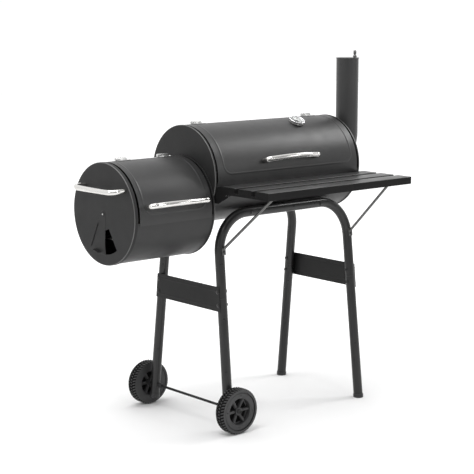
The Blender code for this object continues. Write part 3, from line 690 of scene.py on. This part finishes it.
for node, x, facing, axis_z, look in (
    ("main_cap_left", MAIN_X[0], -1.0, MAIN_Z, END_SHADED_BLACK),
    ("firebox_cap_right", FIRE_X[1], 1.0, FIRE_Z, BLACK),
):
    paint_rim_highlight(cut(end_cap(node, x, facing, axis_z, look), [passage()]), axis_z, CAP_CORNER)
outlet = turned(rod(0.0355, -0.02, 0.02), 48, (MAIN_X[1], 0.0, MAIN_Z), X)
cut(end_cap("main_cap_right", MAIN_X[1], 1.0, MAIN_Z, BLACK), [outlet])
end_plate = end_cap(
    "firebox_cap_left", FIRE_X[0], -1.0, FIRE_Z, END_SHADED_BLACK, END_LIP, END_CORNER
)
fan = arc(VENT_R[1], *VENT_DEG, 14) + arc(VENT_R[0], *reversed(VENT_DEG), 6)
vent = Shape().add(*extrude(fan, (FIRE_X[0] - 0.01, 0.0, FIRE_Z), Y, Z, X, 0.02))
pivot = turned(rod(0.0033, -0.01, 0.01), 20, (FIRE_X[0], 0.0, FIRE_Z), LEFT)
cut(end_plate, [vent, pivot], 30.0)
paint_rim_highlight(end_plate, FIRE_Z, END_CORNER)


# -------- fastenings
def dome(shape, place, direction, radius, height, washer=0.0):
    """A round screw or rivet head, on a washer when one is asked for."""
    base = 0.0
    profile = [(radius, -0.0004)]
    if washer:
        base = 0.0009
        profile = [(washer, -0.0004), (washer, 0.0006), (washer - 0.0004, base)]
    for i in range(6):
        angle = math.radians(18.0 * i)
        profile.append((radius * math.cos(angle), base + height * math.sin(angle)))
    profile.append((0.0, base + height))
    shape.add(*lathe(profile, 18, place, direction))


def hex_nut(shape, place, direction, radius, height):
    """A nut with the end of its screw showing."""
    profile = [(radius * 0.5, 0.0), (radius, 0.0), (radius, height * 0.8), (radius * 0.86, height)]
    profile.append((radius * 0.5, height))
    shape.add(*lathe(profile, 6, place, direction, ring=True))
    end = Vector(place) + Vector(direction).normalized() * height * 0.7
    dome(shape, end, direction, radius * 0.45, 0.002)


def leg_x(height, left):
    return -0.2796 + 0.0175 * height if left else 0.2819 - 0.0116 * height


def leg_y(height, front):
    spread_out = 0.1856 - 0.1032 * height
    return -spread_out if front else spread_out


def leg_point(height, left, front):
    return Vector((leg_x(height, left), leg_y(height, front), height))


def panel_bolts(shape):
    """Bolts through the side panels and legs, with nuts on the inside."""
    for front in (True, False):
        for left in (True, False):
            out = -1.0 if left else 1.0
            for height in (0.422, 0.382):
                spot = leg_point(height, left, front)
                head = spot + Vector((out * (LEG_R + 0.0016), 0.0, 0.0))
                nut = spot - Vector((out * (LEG_R - 0.0006), 0.0, 0.0))
                dome(shape, head, (out, 0.0, 0.0), *PANEL_BOLT)
                hex_nut(shape, nut, (-out, 0.0, 0.0), *PANEL_NUT)


def saddle_bolts(shape):
    """Bolts that hold the cooking drum on the two rails."""
    for x in (-0.145, 0.151):
        for front in (True, False):
            out = -1.0 if front else 1.0
            y = leg_y(RAIL_Z, front) + out * (LEG_R - 0.0004)
            dome(shape, (x, y, RAIL_Z - 0.002), (0.0, out, -0.05), *SADDLE_BOLT)


def shelf_bolts(shape):
    """Fastenings of the shelf's brackets and stays."""
    for y in (-0.1945, -0.2045):
        for x, out in zip(SHELF_X, (-1.0, 1.0)):
            dome(shape, (x, y, 0.7195), (out, 0.0, 0.0), *BRACKET_BOLT)
    for x in (-0.238, 0.2495):
        hex_nut(shape, (x, -0.3395, 0.7201), (0.0, 0.0, -1.0), *STAY_NUT)
    bolt_z = STAY_FOOT_Z - 0.010
    bolt_y = leg_y(STAY_FOOT_Z, True) - LEG_R - 0.0041
    nut_y = leg_y(bolt_z, True) + LEG_R - 0.0006
    for x in (leg_x(STAY_FOOT_Z, True) + 0.003, leg_x(STAY_FOOT_Z, False)):
        dome(shape, (x, bolt_y, bolt_z), (0.0, -1.0, -0.1), *STAY_BOLT)
        hex_nut(shape, (x, nut_y, bolt_z), Y, *FOOT_NUT)


def hole_plugs(shape):
    """Plugs in the spare holes on both sides of each leg."""
    rim = [(0.0, 0.00005), (0.0030, 0.00012), (0.0034, 0.0004), (0.0038, -0.0002), (0.0034, -0.001)]
    for left in (True, False):
        for front, height in ((True, 0.181), (False, 0.192)):
            spot = leg_point(height, left, front)
            for way in ((-0.62, -0.78, 0.0), (0.62, 0.78, 0.0)):
                aim = Vector(way).normalized()
                shape.add(*lathe(rim, 18, spot + aim * (LEG_R - 0.0001), aim))


black_bolts = Shape()
panel_bolts(black_bolts)
saddle_bolts(black_bolts)
shelf_bolts(black_bolts)
piece("black_bolts", black_bolts, TUBE_BLACK, "base", (), 40.0)
plugs = Shape()
hole_plugs(plugs)
piece("leg_hole_plugs", plugs, END_SHADED_BLACK, "base", ())


# -------- hinges
def rivets(name, x, axis_z, way, radius, body):
    """Two rivets through a hinge's leaf; way is -1 on the lid's side of the pin and 1 on the tub's."""
    leaf_middle = HINGE_DEG + way * math.degrees((0.010 + 0.0056) / DRUM_R)
    y, z = around(radius + 0.0019, leaf_middle + way * 2.0, axis_z)
    shape = Shape()
    for dx in (-0.0125, 0.0125):
        dome(shape, (x + dx, y, z), (0.0, y, z - axis_z), *RIVET)
    piece(name, shape, ZINC, body, ())


for drum, axis_z, places in (("main", MAIN_Z, (-0.235, 0.228)), ("firebox", FIRE_Z, (-0.521, -0.366))):
    for side, x in zip(SIDES, places):
        rivets(f"{drum}_leaf_rivets_{side}", x, axis_z, -1.0, DRUM_R, f"{drum}_lid")
        rivets(f"{drum}_base_rivets_{side}", x, axis_z, 1.0, TUB_R, "base")


# -------- handles
def bow_line(half, stand, rise, corner):
    """Centre line of a bow handle in its own plane: along, and away from the sheet."""
    reach = half - corner
    leg = [(-half, 0.0003), (-half, 0.003), (-half, stand - corner)]
    for step in range(1, 8):
        angle = math.radians(90.0 * step / 8)
        leg.append((-half + corner * (1 - math.cos(angle)), stand - corner + corner * math.sin(angle)))
    middle = []
    for step in range(25):
        along = -reach + 2 * reach * step / 24
        middle.append((along, stand + rise * (1 - (along / reach) ** 2)))
    return leg + middle + [(-along, away) for along, away in reversed(leg)]


def bow(name, spot, along, look, body, node, size=LID_BOW, droop=0.0):
    """A bent bar on two legs; with a droop its loop hangs below its feet."""
    place, away = spot
    along = Vector(along)
    slope = math.tan(math.radians(droop))
    line = []
    for a, b in bow_line(*size):
        sag = slope * max(b - 0.003, 0.0)
        line.append(place + along * a + away * b - Vector((0.0, 0.0, sag)))
    shape = Shape().add(*sweep(line, BAR_R, 28, hint=along.cross(away)))
    piece(name, shape, look, body, [node], 40.0)


main_spot = skin_spot(0.0, 15.6, MAIN_Z, 0.0006)
bow("main_bow", main_spot, X, STAINLESS_X, "main_lid", "main_lid_handle")
fire_spot = skin_spot(-0.450, 12.1, FIRE_Z, 0.0006)
bow("firebox_bow", fire_spot, X, STAINLESS_X, "firebox_lid", "firebox_lid_handle")
end_spot = Vector((FIRE_X[0] - GAP, -0.0096, 0.7522)), Vector(LEFT)
bow("end_bow", end_spot, Y, STAINLESS_Y, "base", "firebox_end_handle", END_BOW, END_BOW_DROOP)


# -------- thermometer
DIAL_PLACE, DIAL_OUT = skin_spot(DIAL_X, DIAL_DEG, MAIN_Z, 0.0004)
PAPER_TOP = 0.0057


def on_dial(profile, steps, **more):
    return turned(profile, steps, DIAL_PLACE, DIAL_OUT, **more)


def dial_marks():
    """Generic marks round the dial, each fifth one longer and wider."""
    right = Vector(X)
    top = DIAL_OUT.cross(right)
    marks = Shape()
    for number in range(26):
        swing = math.radians(126.0 - 10.0 * number)
        ray = top * math.cos(swing) - right * math.sin(swing)
        inner, half = (0.0148, 0.00045) if number % 5 == 0 else (0.0166, 0.00025)
        outline = [(inner, -half), (0.0190, -half), (0.0190, half), (inner, half)]
        base = DIAL_PLACE + DIAL_OUT * PAPER_TOP
        marks.add(*extrude(outline, base, ray, DIAL_OUT.cross(ray), DIAL_OUT, 0.00012))
    return marks


bezel_profile = [
    (0.0222, 0.0050), (0.0226, 0.0104), (0.0232, 0.0112), (0.0246, 0.0118), (0.0258, 0.0112),
    (0.0262, 0.0098), (0.0260, 0.0075), (0.0250, 0.0050), (0.0225, 0.0030), (0.0190, 0.0012),
    (0.0190, 0.0006),
]
bezel = on_dial(bezel_profile, 120, ring=True, lobes=12, depth=0.026)
piece("thermometer_bezel", bezel, CHROME, "main_lid", ["thermometer_case"], 60.0)
stem_profile = [(0.0, 0.0048), (0.0235, 0.0046), (0.0235, 0.0006), (0.0036, 0.0004)]
stem_profile += [(0.0036, -0.006), (0.0024, -0.0078), (0.0024, -0.0495), (0.0, -0.0508)]
piece("thermometer_stem", on_dial(stem_profile, 36), ZINC, "main_lid", ())
paper_profile = [(0.0, PAPER_TOP), (0.0222, PAPER_TOP), (0.0228, 0.0054), (0.0228, 0.0049), (0.0, 0.0049)]
piece("dial_face", on_dial(paper_profile, 60), DIAL, "main_lid", ["thermometer_dial"])
glass_profile = [(0.0, 0.0116), (0.010, 0.0113), (0.0180, 0.0104), (0.0224, 0.0094)]
glass_profile += [(0.0224, 0.0088), (0.0, 0.0098)]
piece("dial_glass", on_dial(glass_profile, 60), GLASS, "main_lid", ["thermometer_glass"])
piece("dial_marks", dial_marks(), PLASTIC, "main_lid", (), smooth=False)
needle_hub = Shape()
dome(needle_hub, DIAL_PLACE + DIAL_OUT * 0.0076, DIAL_OUT, 0.0017, 0.0008)
piece("needle_hub", needle_hub, DARK_STEEL, "thermometer_needle", ())


# -------- chimney
def chimney_line():
    """Out of the drum's end, round a bend and up to the cap."""
    bend = FLUE_X - MAIN_X[1] - GAP - 0.006
    bend_top = MAIN_Z + bend
    line = [Vector((COLLAR_X, 0.0, MAIN_Z))]
    for step in range(17):
        angle = math.radians(90.0 * step / 16)
        x = FLUE_X - bend + bend * math.sin(angle)
        line.append(Vector((x, 0.0, bend_top - bend * math.cos(angle))))
    for step in range(1, 9):
        line.append(Vector((FLUE_X, 0.0, bend_top + (FLUE_TOP - bend_top) * step / 8)))
    return line


def collar_screws():
    shape = Shape()
    for number in range(4):
        angle = math.radians(45.0 + 90.0 * number)
        spot = (COLLAR_X + COLLAR_THICK, 0.0438 * math.cos(angle), MAIN_Z + 0.0438 * math.sin(angle))
        dome(shape, spot, X, *COLLAR_SCREW)
    return shape


def spindle():
    """The pin that the cap swings on, and the lug that joins it to the pipe's wall."""
    shape = turned(rod(0.0025, -0.0040, 0.0130), 20, SPINDLE, Z)
    outward = Vector((SPINDLE[0] - FLUE_X, SPINDLE[1], 0.0)).normalized()
    aside = Vector((-outward.y, outward.x, 0.0))
    lug = [(0.0160, -0.004), (0.0343, -0.004), (0.0343, 0.004), (0.0160, 0.004)]
    return shape.add(*extrude(lug, (FLUE_X, 0.0, FLUE_TOP - 0.005), outward, aside, Z, 0.002))


pipe = Shape().add(*sweep(chimney_line(), FLUE_R, 72, SHEET))
piece("chimney_tube", pipe, BLACK, "base", ["chimney_pipe"], angle=30.0)
collar_profile = [(0.0371, 0.0), (0.0500, 0.0), (0.0500, COLLAR_THICK), (0.0385, COLLAR_THICK)]
collar_profile = fillet(collar_profile + [(0.0371, COLLAR_THICK)], 0.0006)
collar = turned(collar_profile, 72, (COLLAR_X, 0.0, MAIN_Z), X, ring=True)
piece("chimney_collar", collar, BLACK, "base", ["chimney_flange"])
piece("collar_screws", collar_screws(), ZINC, "base", ())
disc = [(0.0, 0.0027), (0.0370, 0.0027), (0.0378, 0.0024), (0.0382, 0.0018), (0.0382, 0.0009)]
disc = turned(disc + [(0.0378, 0.0003), (0.0, 0.0003)], 96, (FLUE_X, 0.0, FLUE_TOP), Z)
cap = piece("chimney_lid", disc, BLACK, "chimney_cap", ["chimney_cap"])
cut(cap, [turned(rod(0.0031, -0.01, 0.01), 24, SPINDLE, Z)])
piece("spindle_pin", spindle(), ZINC, "base", ["chimney_spindle"])
knob_profile = [
    (0.0, 0.0270), (0.0022, 0.0268), (0.0038, 0.0258), (0.0046, 0.0240), (0.0048, 0.0205),
    (0.0046, 0.0150), (0.0036, 0.0128), (0.0036, 0.0108), (0.0060, 0.0090), (0.0062, 0.0074),
    (0.0060, 0.0034), (0.0, 0.0031),
]
knob = turned(knob_profile, 32, SPINDLE, Z)
piece("chimney_knob", knob, DARK_STEEL, "base", (), 60.0)


# -------- air damper
END_PIVOT = Vector((FIRE_X[0] - GAP, 0.0, FIRE_Z))


def damper_outline(inset=0.0):
    """(y, z) round the damper: a wide arc at its foot and a half circle at its head."""
    half = DAMPER_HALF_DEG - math.degrees(inset / DAMPER_R)
    foot = arc(DAMPER_R - inset, DAMPER_DEG - half, DAMPER_DEG + half, 20)
    return foot + arc(DAMPER_HEAD_R - inset, DAMPER_DEG + 90.0, DAMPER_DEG + 270.0, 16)


def damper_blank():
    """The damper's plate: its flanks slope in towards the outer face."""
    outline = damper_outline()
    verts = [(FIRE_X[0] - 0.00004, y, FIRE_Z + z) for y, z in outline]
    verts += [(FIRE_X[0] - 0.00060, y, FIRE_Z + z) for y, z in damper_outline(0.0008)]
    return verts, prism_faces(len(outline))


def damper_tab():
    """The bent tab at the damper's foot."""
    toward = Vector((0.0, *around(1.0, DAMPER_DEG)))
    aside = Vector((0.0, -toward.z, toward.y))
    outline = [(0.1148, 0.0), (0.1148, 0.0116), (0.1136, 0.0122), (0.1134, 0.0)]
    return extrude(outline, END_PIVOT - aside * TAB_WIDTH / 2, toward, LEFT, aside, TAB_WIDTH)


def damper_lip():
    """A narrow lip along the damper's rear flank."""
    head = Vector((0.0, *around(DAMPER_HEAD_R, DAMPER_DEG - 90.0)))
    foot = Vector((0.0, *around(DAMPER_R, DAMPER_DEG - DAMPER_HALF_DEG)))
    start = head.lerp(foot, 0.30)
    along = head.lerp(foot, 0.985) - start
    ahead = along.normalized()
    inward = Vector((0.0, ahead.z, -ahead.y))
    outline = [(0.0002, 0.0), (0.0002, 0.0019), (0.0016, 0.0019), (0.0016, 0.0)]
    return extrude(outline, END_PIVOT + start, inward, LEFT, ahead, along.length)


damper = Shape().add(*damper_blank()).add(*damper_tab()).add(*damper_lip())
piece("damper_plate", damper, END_SHADED_BLACK, "vent_damper", ["vent_damper"], angle=30.0)
screw_profile = [(0.0, 0.0018), (0.0022, 0.0018), (0.0036, 0.0013), (0.0042, 0.0004), (0.0042, -0.0007)]
screw_profile += [(0.0028, -0.0007), (0.0028, -0.0042), (0.0055, -0.0042), (0.0055, -0.0082)]
screw_profile.append((0.0, -0.0082))
screw = turned(screw_profile, 28, END_PIVOT + Vector((-GAP - 0.0015, 0.0, 0.0)), LEFT)
piece("damper_screw", screw, DARK_STEEL, "base", ["vent_screw"])
screw_tip = Shape()
dome(screw_tip, END_PIVOT + Vector((-GAP - 0.0033, -0.0004, 0.0006)), LEFT, 0.0019, 0.0007)
piece("damper_screw_tip", screw_tip, ZINC, "base", ())


# -------- grates
def wire_grate(name, node, look=WIRE, pitch=0.0125):
    """A rounded wire frame with bars across it, on two long wires underneath."""
    frame_r, bar_r, rail_r, corner = 0.0022, 0.0017, 0.0019, 0.012
    low, high = (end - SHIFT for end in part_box(node))
    z = high.z - frame_r
    x0, x1 = low.x + frame_r, high.x - frame_r
    y0, y1 = low.y + frame_r, high.y - frame_r
    loop = []
    for x, y in rounded_rectangle((x1 - x0) / 2, (y1 - y0) / 2, corner, 5):
        loop.append((x + (x0 + x1) / 2, y + (y0 + y1) / 2, z))
    shape = Shape().add(*sweep(loop, frame_r, 10, hint=Z, closed=True))
    count = int((x1 - x0) / pitch)
    for number in range(1, count):
        x = x0 + (x1 - x0) * number / count
        inset = 0.003 if min(x - x0, x1 - x) < corner else 0.0
        shape.add(*sweep([(x, y0 + inset, z), (x, y1 - inset, z)], bar_r, 8, hint=Z))
    for share in (0.25, 0.75):
        y = y0 + (y1 - y0) * share
        shape.add(*sweep([(x0, y, z - 0.0026), (x1, y, z - 0.0026)], rail_r, 8, hint=Z))
    piece(name, shape, look, "base", [node])


wire_grate("cooking_wires_left", "cooking_grate_left")
wire_grate("cooking_wires_right", "cooking_grate_right")
wire_grate("charcoal_wires", "charcoal_grate", DARK_STEEL, 0.020)
wire_grate("firebox_cooking_wires", "firebox_cooking_grate")
wire_grate("firebox_charcoal_wires", "firebox_charcoal_grate", DARK_STEEL, 0.018)


# -------- stand
def frame_line(front):
    """Centre line of a bent frame: up the left leg, along the rail and down the right leg."""
    bend_z = RAIL_Z - BEND_R
    sides = []
    for left, inward in ((True, 1.0), (False, -1.0)):
        points = [leg_point(z, left, front) for z in (SEAM_Z + GAP, 0.47, bend_z)]
        for step in range(1, 15):
            angle = math.radians(90.0 * step / 15)
            z = bend_z + BEND_R * math.sin(angle)
            x = leg_x(bend_z, left) + inward * BEND_R * (1 - math.cos(angle))
            points.append(Vector((x, leg_y(z, front), z)))
        sides.append(points)
    start = leg_x(bend_z, True) + BEND_R
    length = leg_x(bend_z, False) - BEND_R - start
    rail = [Vector((start + length * i / 6, leg_y(RAIL_Z, front), RAIL_Z)) for i in range(7)]
    return sides[0] + rail + sides[1][::-1]


def leg(place, front, side, left):
    """A lower leg, and the spigot that joins it to the bent frame."""
    top = SEAM_Z - GAP
    length = SEAM_Z - (0.041 if left else 0.0115)
    line = [leg_point(top - length * i / 6, left, front) for i in range(7)]
    tube = Shape().add(*sweep(line, LEG_R, 40, LEG_WALL))
    piece(f"leg_tube_{place}_{side}", tube, TUBE_BLACK, "base", [f"leg_{place}_{side}"], angle=30.0)
    ends = [leg_point(SEAM_Z + offset, left, front) for offset in (-0.020, 0.020)]
    spigot = Shape().add(*sweep(ends, LEG_R - 0.0016, 28))
    piece(f"leg_spigot_{place}_{side}", spigot, TUBE_BLACK, "base", ())


for place, front in (("front", True), ("rear", False)):
    tube = Shape().add(*sweep(frame_line(front), LEG_R, 40, LEG_WALL))
    piece(f"frame_tube_{place}", tube, TUBE_BLACK, "base", [f"frame_{place}"], angle=30.0)
    leg(place, front, "left", True)
    leg(place, front, "right", False)


def panel_lift(height):
    """How far the panel's pressed lines stand out at a height."""
    raised = 0.0
    for middle in PANEL_BEAD_Z:
        distance = abs(height - middle)
        if distance < PANEL_BEAD_HALF:
            raised = 0.5 * (1 + math.cos(math.pi * distance / PANEL_BEAD_HALF))
    return (raised - 1.0) * PANEL_BEAD_HEIGHT


def side_panel(side, left, out):
    """A sheet across a pair of legs, with a pressed line near each long edge."""
    x = leg_x(PANEL_Z[0], left) + out * (LEG_R + GAP + SHEET / 2)
    heights = spaced(*PANEL_Z, [(0.372, 0.380), (0.422, 0.430)], 0.006, 0.0009)
    shares = np.linspace(-1.0, 1.0, 9)
    verts = []
    for layer in (0.0, -SHEET):
        for height in heights:
            half = leg_y(height, False) + LEG_R * 0.55
            here = x + out * (SHEET / 2 + panel_lift(height) * 0.6 + layer)
            verts += [(here, share * half, height) for share in shares]
    shape = Shape().add(verts, sheet_faces(len(heights), len(shares)))
    name = f"panel_sheet_{side}"
    piece(name, shape, PANEL_SHADED_BLACK, "base", [f"side_panel_{side}"], angle=50.0)


side_panel("left", True, -1.0)
side_panel("right", False, 1.0)


# -------- wheels
def tread_cut(turn, across):
    """How deep the tread is cut at a place, from 0 to 1: three rows of staggered chevron blocks."""
    centre_row = WHEEL_HALF * 0.30
    pitch = turn * TREAD_BLOCKS / (2.0 * math.pi)
    if abs(across) < centre_row:
        phase = pitch + 0.5 + 0.55 * abs(across) / centre_row
    else:
        phase = pitch + 0.9 * (abs(across) - centre_row) / WHEEL_HALF
    if abs(abs(across) - WHEEL_HALF * 0.33) < WHEEL_HALF * 0.045:
        return 1.0
    share = phase - math.floor(phase)
    groove, slope = 0.42, 0.10
    if share < groove:
        return 1.0
    if share < groove + slope:
        return 1.0 - (share - groove) / slope
    if share > 1.0 - slope:
        return (share - 1.0 + slope) / slope
    return 0.0


def crown(share):
    """The tyre's radius at a share of its half width, falling away at the shoulders."""
    edge = max(0.0, (abs(share) - 0.55) / 0.45)
    return WHEEL_R - SHOULDER_DROP * edge**2.2


def tyre(centre):
    """A treaded ring, open inside for the rim."""
    outer = [-1.0, -0.97, -0.93, -0.86, -0.76, -0.64, -0.52, -0.42, -0.37, -0.33, -0.29, -0.2, -0.1]
    stations = outer + [0.0] + [-share for share in reversed(outer)]
    steps = TREAD_BLOCKS * 8
    verts = []
    faces = []

    def ring(across, radius_at):
        for i in range(steps):
            turn = 2 * math.pi * i / steps
            radius = radius_at(turn)
            x = centre[0] + radius * math.cos(turn)
            verts.append((x, centre[1] + across, centre[2] + radius * math.sin(turn)))

    for share in stations:
        across = share * WHEEL_HALF
        depth = TREAD_DEPTH if abs(share) < 0.97 else 0.0
        ring(across, lambda turn: crown(share) - depth * tread_cut(turn, across))
    for share in (0.985, -0.985):
        ring(share * WHEEL_HALF, lambda turn: 0.0588)
    rows = [range(start, start + steps) for start in range(0, len(verts), steps)]
    for low, high in zip(rows, rows[1:] + rows[:1]):
        faces += band_faces(low, high)
    return Shape().add(verts, faces)


def paint_groove_shade(made, centre):
    """Paints shade on the floors of the tread's grooves with a near-black material."""
    made.data.materials.append(SHADE_BLACK)
    middle = centre + SHIFT
    for face in made.data.polygons:
        spot = face.center - middle
        on_tread = abs(spot.y) < WHEEL_HALF * 0.95
        if on_tread and math.hypot(spot.x, spot.z) < crown(spot.y / WHEEL_HALF) - 0.0011:
            face.material_index = 1


def wheel_rim(name, centre, sign, body):
    """The stepped ring inside the tyre, with four small holes."""
    out = (0.0, sign, 0.0)
    outer = WHEEL_HALF - 0.0025
    inner = -WHEEL_HALF * 0.9
    profile = [
        (0.0594, inner), (0.0594, outer - 0.0004), (0.0586, outer - 0.0002), (0.0580, outer - 0.0018),
        (0.0570, outer - 0.0018), (0.0562, outer), (0.0420, outer), (0.0408, outer - 0.0006),
        (0.0398, outer - 0.0030), (0.0390, -0.0045), (0.0390, inner),
    ]
    shape = turned(profile, 96, centre, out, ring=True)
    rim = piece(name, shape, RUBBER, body, (), 30.0)
    holes = []
    for number in range(4):
        angle = math.radians(85.0 + 90.0 * number)
        spot = centre + Vector((0.0485 * math.cos(angle), sign * outer, 0.0485 * math.sin(angle)))
        holes.append(turned(rod(0.0017, -0.005, 0.002), 14, spot, out))
    cut(rim, holes, 30.0)


def spokes(centre, sign):
    """The hub, six ribbed spokes and the ring at their ends."""
    out = (0.0, sign, 0.0)
    hub = [(0.00415, 0.0120), (0.0100, 0.0120), (0.0118, 0.0112), (0.0128, 0.0095)]
    hub += [(0.0134, -0.0160), (0.00415, -0.0160)]
    shape = turned(hub, 48, centre, out, ring=True)
    web = [(0.0110, -0.0046), (0.0395, -0.0062), (0.0395, 0.0062), (0.0110, 0.0046)]
    for number in range(6):
        angle = math.radians(60.0 * number + 1.7)
        ray = Vector((math.cos(angle), 0.0, math.sin(angle)))
        for root, tip in ((-0.0050, -0.0088), (0.0030, 0.0068)):
            start = centre + ray * 0.0110 + Vector((0.0, sign * root, 0.0))
            end = centre + ray * 0.0398 + Vector((0.0, sign * tip, 0.0))
            shape.add(*sweep([start.lerp(end, i / 8) for i in range(9)], 0.0050, 20))
        side = Vector((-ray.z, 0.0, ray.x))
        shape.add(*extrude(web, centre - Vector((0.0, sign * 0.0060, 0.0)), ray, side, out, 0.0100))
    ring = [(0.0340, -0.0045), (0.0394, -0.0045), (0.0394, 0.0020), (0.0360, 0.0010)]
    return shape.add(*lathe(ring, 72, centre, out, ring=True))


def wheel(place, sign):
    middle = (AXLE_X, sign * WHEEL_Y, WHEEL_R)
    centre = Vector(middle)
    body = f"wheel_{place}"
    tread = piece(f"tyre_{place}", tyre(middle), RUBBER, body, [body], 28.0)
    paint_groove_shade(tread, centre)
    wheel_rim(f"rim_{place}", centre, sign, body)
    # a near-black disc behind the spokes closes the pockets: painted shade in the wheel's pockets
    web = [(0.0130, -0.0016), (0.0394, -0.0016), (0.0394, -0.0004), (0.0130, -0.0004)]
    disc = turned(web, 72, centre, (0.0, sign, 0.0), ring=True)
    piece(f"wheel_shade_disc_{place}", disc, SHADE_BLACK, body, ())
    piece(f"spokes_{place}", spokes(centre, sign), RUBBER, body, ())


wheel("front", -1.0)
wheel("rear", 1.0)


# -------- shelf
def slat(place, y_middle):
    """A sheet folded into a channel, open below, with soft bends along both edges."""
    inner = SLAT_HALF - SHEET
    outline = [(-SLAT_HALF, -SLAT_H), (-SLAT_HALF, 0.0), (SLAT_HALF, 0.0), (SLAT_HALF, -SLAT_H)]
    inside = [(inner, -SLAT_H), (inner, -SHEET), (-inner, -SHEET), (-inner, -SLAT_H)]
    outline = fillet(outline, 0.0022, 5) + fillet(inside, 0.0012, 4)
    x0 = SHELF_X[0] + SHEET + GAP
    length = SHELF_X[1] - SHELF_X[0] - 2 * (SHEET + GAP)
    shape = Shape().add(*extrude(outline, (x0, y_middle - SLAT_HALF, SHELF_TOP), Y, Z, X, length))
    piece(f"slat_{place}", shape, SHELF_SHADED_BLACK, "base", [f"shelf_slat_{place}"], angle=40.0)


for place, y_middle in SLAT_Y.items():
    slat(place, y_middle)

# near-black blocks at the slats' ends, between the slats: painted shade seen through the brackets'
# notches
shelf_gap_shade = Shape()
for y in (-0.210, -0.284):
    for x in (SHELF_X[0] + 0.0045, SHELF_X[1] - 0.0045):
        shelf_gap_shade.add(*block((x, y, SHELF_TOP - 0.0110), (0.0050, 0.0164, 0.0180), 0.0008))
piece("shelf_gap_shade_blocks", shelf_gap_shade, SHADE_BLACK, "base", (), 40.0)

# -------- carried-over nodes
# the axle takes the panels' darker black and the shelf brackets the shelf's darker black; both paint
# shade
FINISH = {"axle": PANEL_SHADED_BLACK, "thermometer_needle": PLASTIC}
for end in ("front", "rear"):
    FINISH[f"axle_nut_{end}"] = PLASTIC
    FINISH[f"axle_sleeve_{end}"] = PLASTIC
    for side in SIDES:
        FINISH[f"foot_cap_{end}_{side}"] = PLASTIC
for side in SIDES:
    FINISH[f"shelf_bracket_{side}"] = SHELF_SHADED_BLACK
    FINISH[f"shelf_brace_{side}"] = ROD_GREY
    for drum in ("main", "firebox"):
        FINISH[f"{drum}_hinge_leaf_{side}"] = ZINC
        FINISH[f"{drum}_hinge_base_{side}"] = ZINC
for node, look in FINISH.items():
    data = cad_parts[node].data
    data.materials.clear()
    data.materials.append(look)


# -------- studio
def softbox(name, place, aim, width, height, power):
    light = bpy.data.lights.new(name, "AREA")
    light.shape = "RECTANGLE"
    light.size = width
    light.size_y = height
    light.energy = power
    made = bpy.data.objects.new(name, light)
    scene.collection.objects.link(made)
    made.location = place
    made.rotation_euler = (Vector(aim) - Vector(place)).to_track_quat("-Z", "Y").to_euler()


def studio_world():
    """An even white surround, darker on the camera's side."""
    world = bpy.data.worlds.new("studio")
    world.use_nodes = True
    sky = world.node_tree
    background = sky.nodes["Background"]
    background.inputs["Strength"].default_value = 1.02
    where = add_node(sky, "TexCoord")
    split = add_node(sky, "SeparateXYZ")
    plug(where.outputs["Generated"], split, "Vector")
    level = spread(sky, split.outputs["Y"], 0.40, 1.0, -0.75, 0.25)
    level.node.interpolation_type = "SMOOTHSTEP"
    grey = add_node(sky, "CombineColor")
    for channel in ("Red", "Green", "Blue"):
        plug(level, grey, channel)
    plug(grey.outputs["Color"], background, "Color")
    return world


floor_data = bpy.data.meshes.new("floor")
floor_data.from_pydata([(-14, -14, 0), (14, -14, 0), (14, 14, 0), (-14, 14, 0)], [], [(0, 1, 2, 3)])
floor_data.materials.append(floor_finish())
floor = bpy.data.objects.new("floor", floor_data)
scene.collection.objects.link(floor)
scene.world = studio_world()
scene.view_settings.view_transform = "Standard"

softbox("key", (2.75, -0.70, 2.75), (0.2, 0.0, 0.77), 1.2, 1.4, 40.0)
softbox("overhead", (-0.6, 0.2, 3.4), (-0.2, 0.0, 0.0), 3.0, 2.0, 40.0)
softbox("side", (-3.3, -0.3, 2.1), (0.0, 0.0, 0.8), 0.5, 1.2, 9.0)
softbox("fill", (1.7, -2.9, 1.6), (0.0, 0.0, 0.75), 1.3, 0.9, 9.0)
softbox("rim", (-1.5, -0.9, 3.2), (-0.3, 0.0, 0.7), 0.9, 0.9, 16.0)
softbox("front", (-0.5, -3.2, 2.3), (0.0, 0.0, 0.8), 0.5, 1.2, 13.0)

camera_data = bpy.data.cameras.new("camera")
camera_data.sensor_width = 36.0
camera_data.lens = CAMERA_LENS
camera = bpy.data.objects.new("camera", camera_data)
camera.location = CAMERA_PLACE
camera.rotation_euler = [math.radians(angle) for angle in CAMERA_DEG]
scene.collection.objects.link(camera)
scene.camera = camera
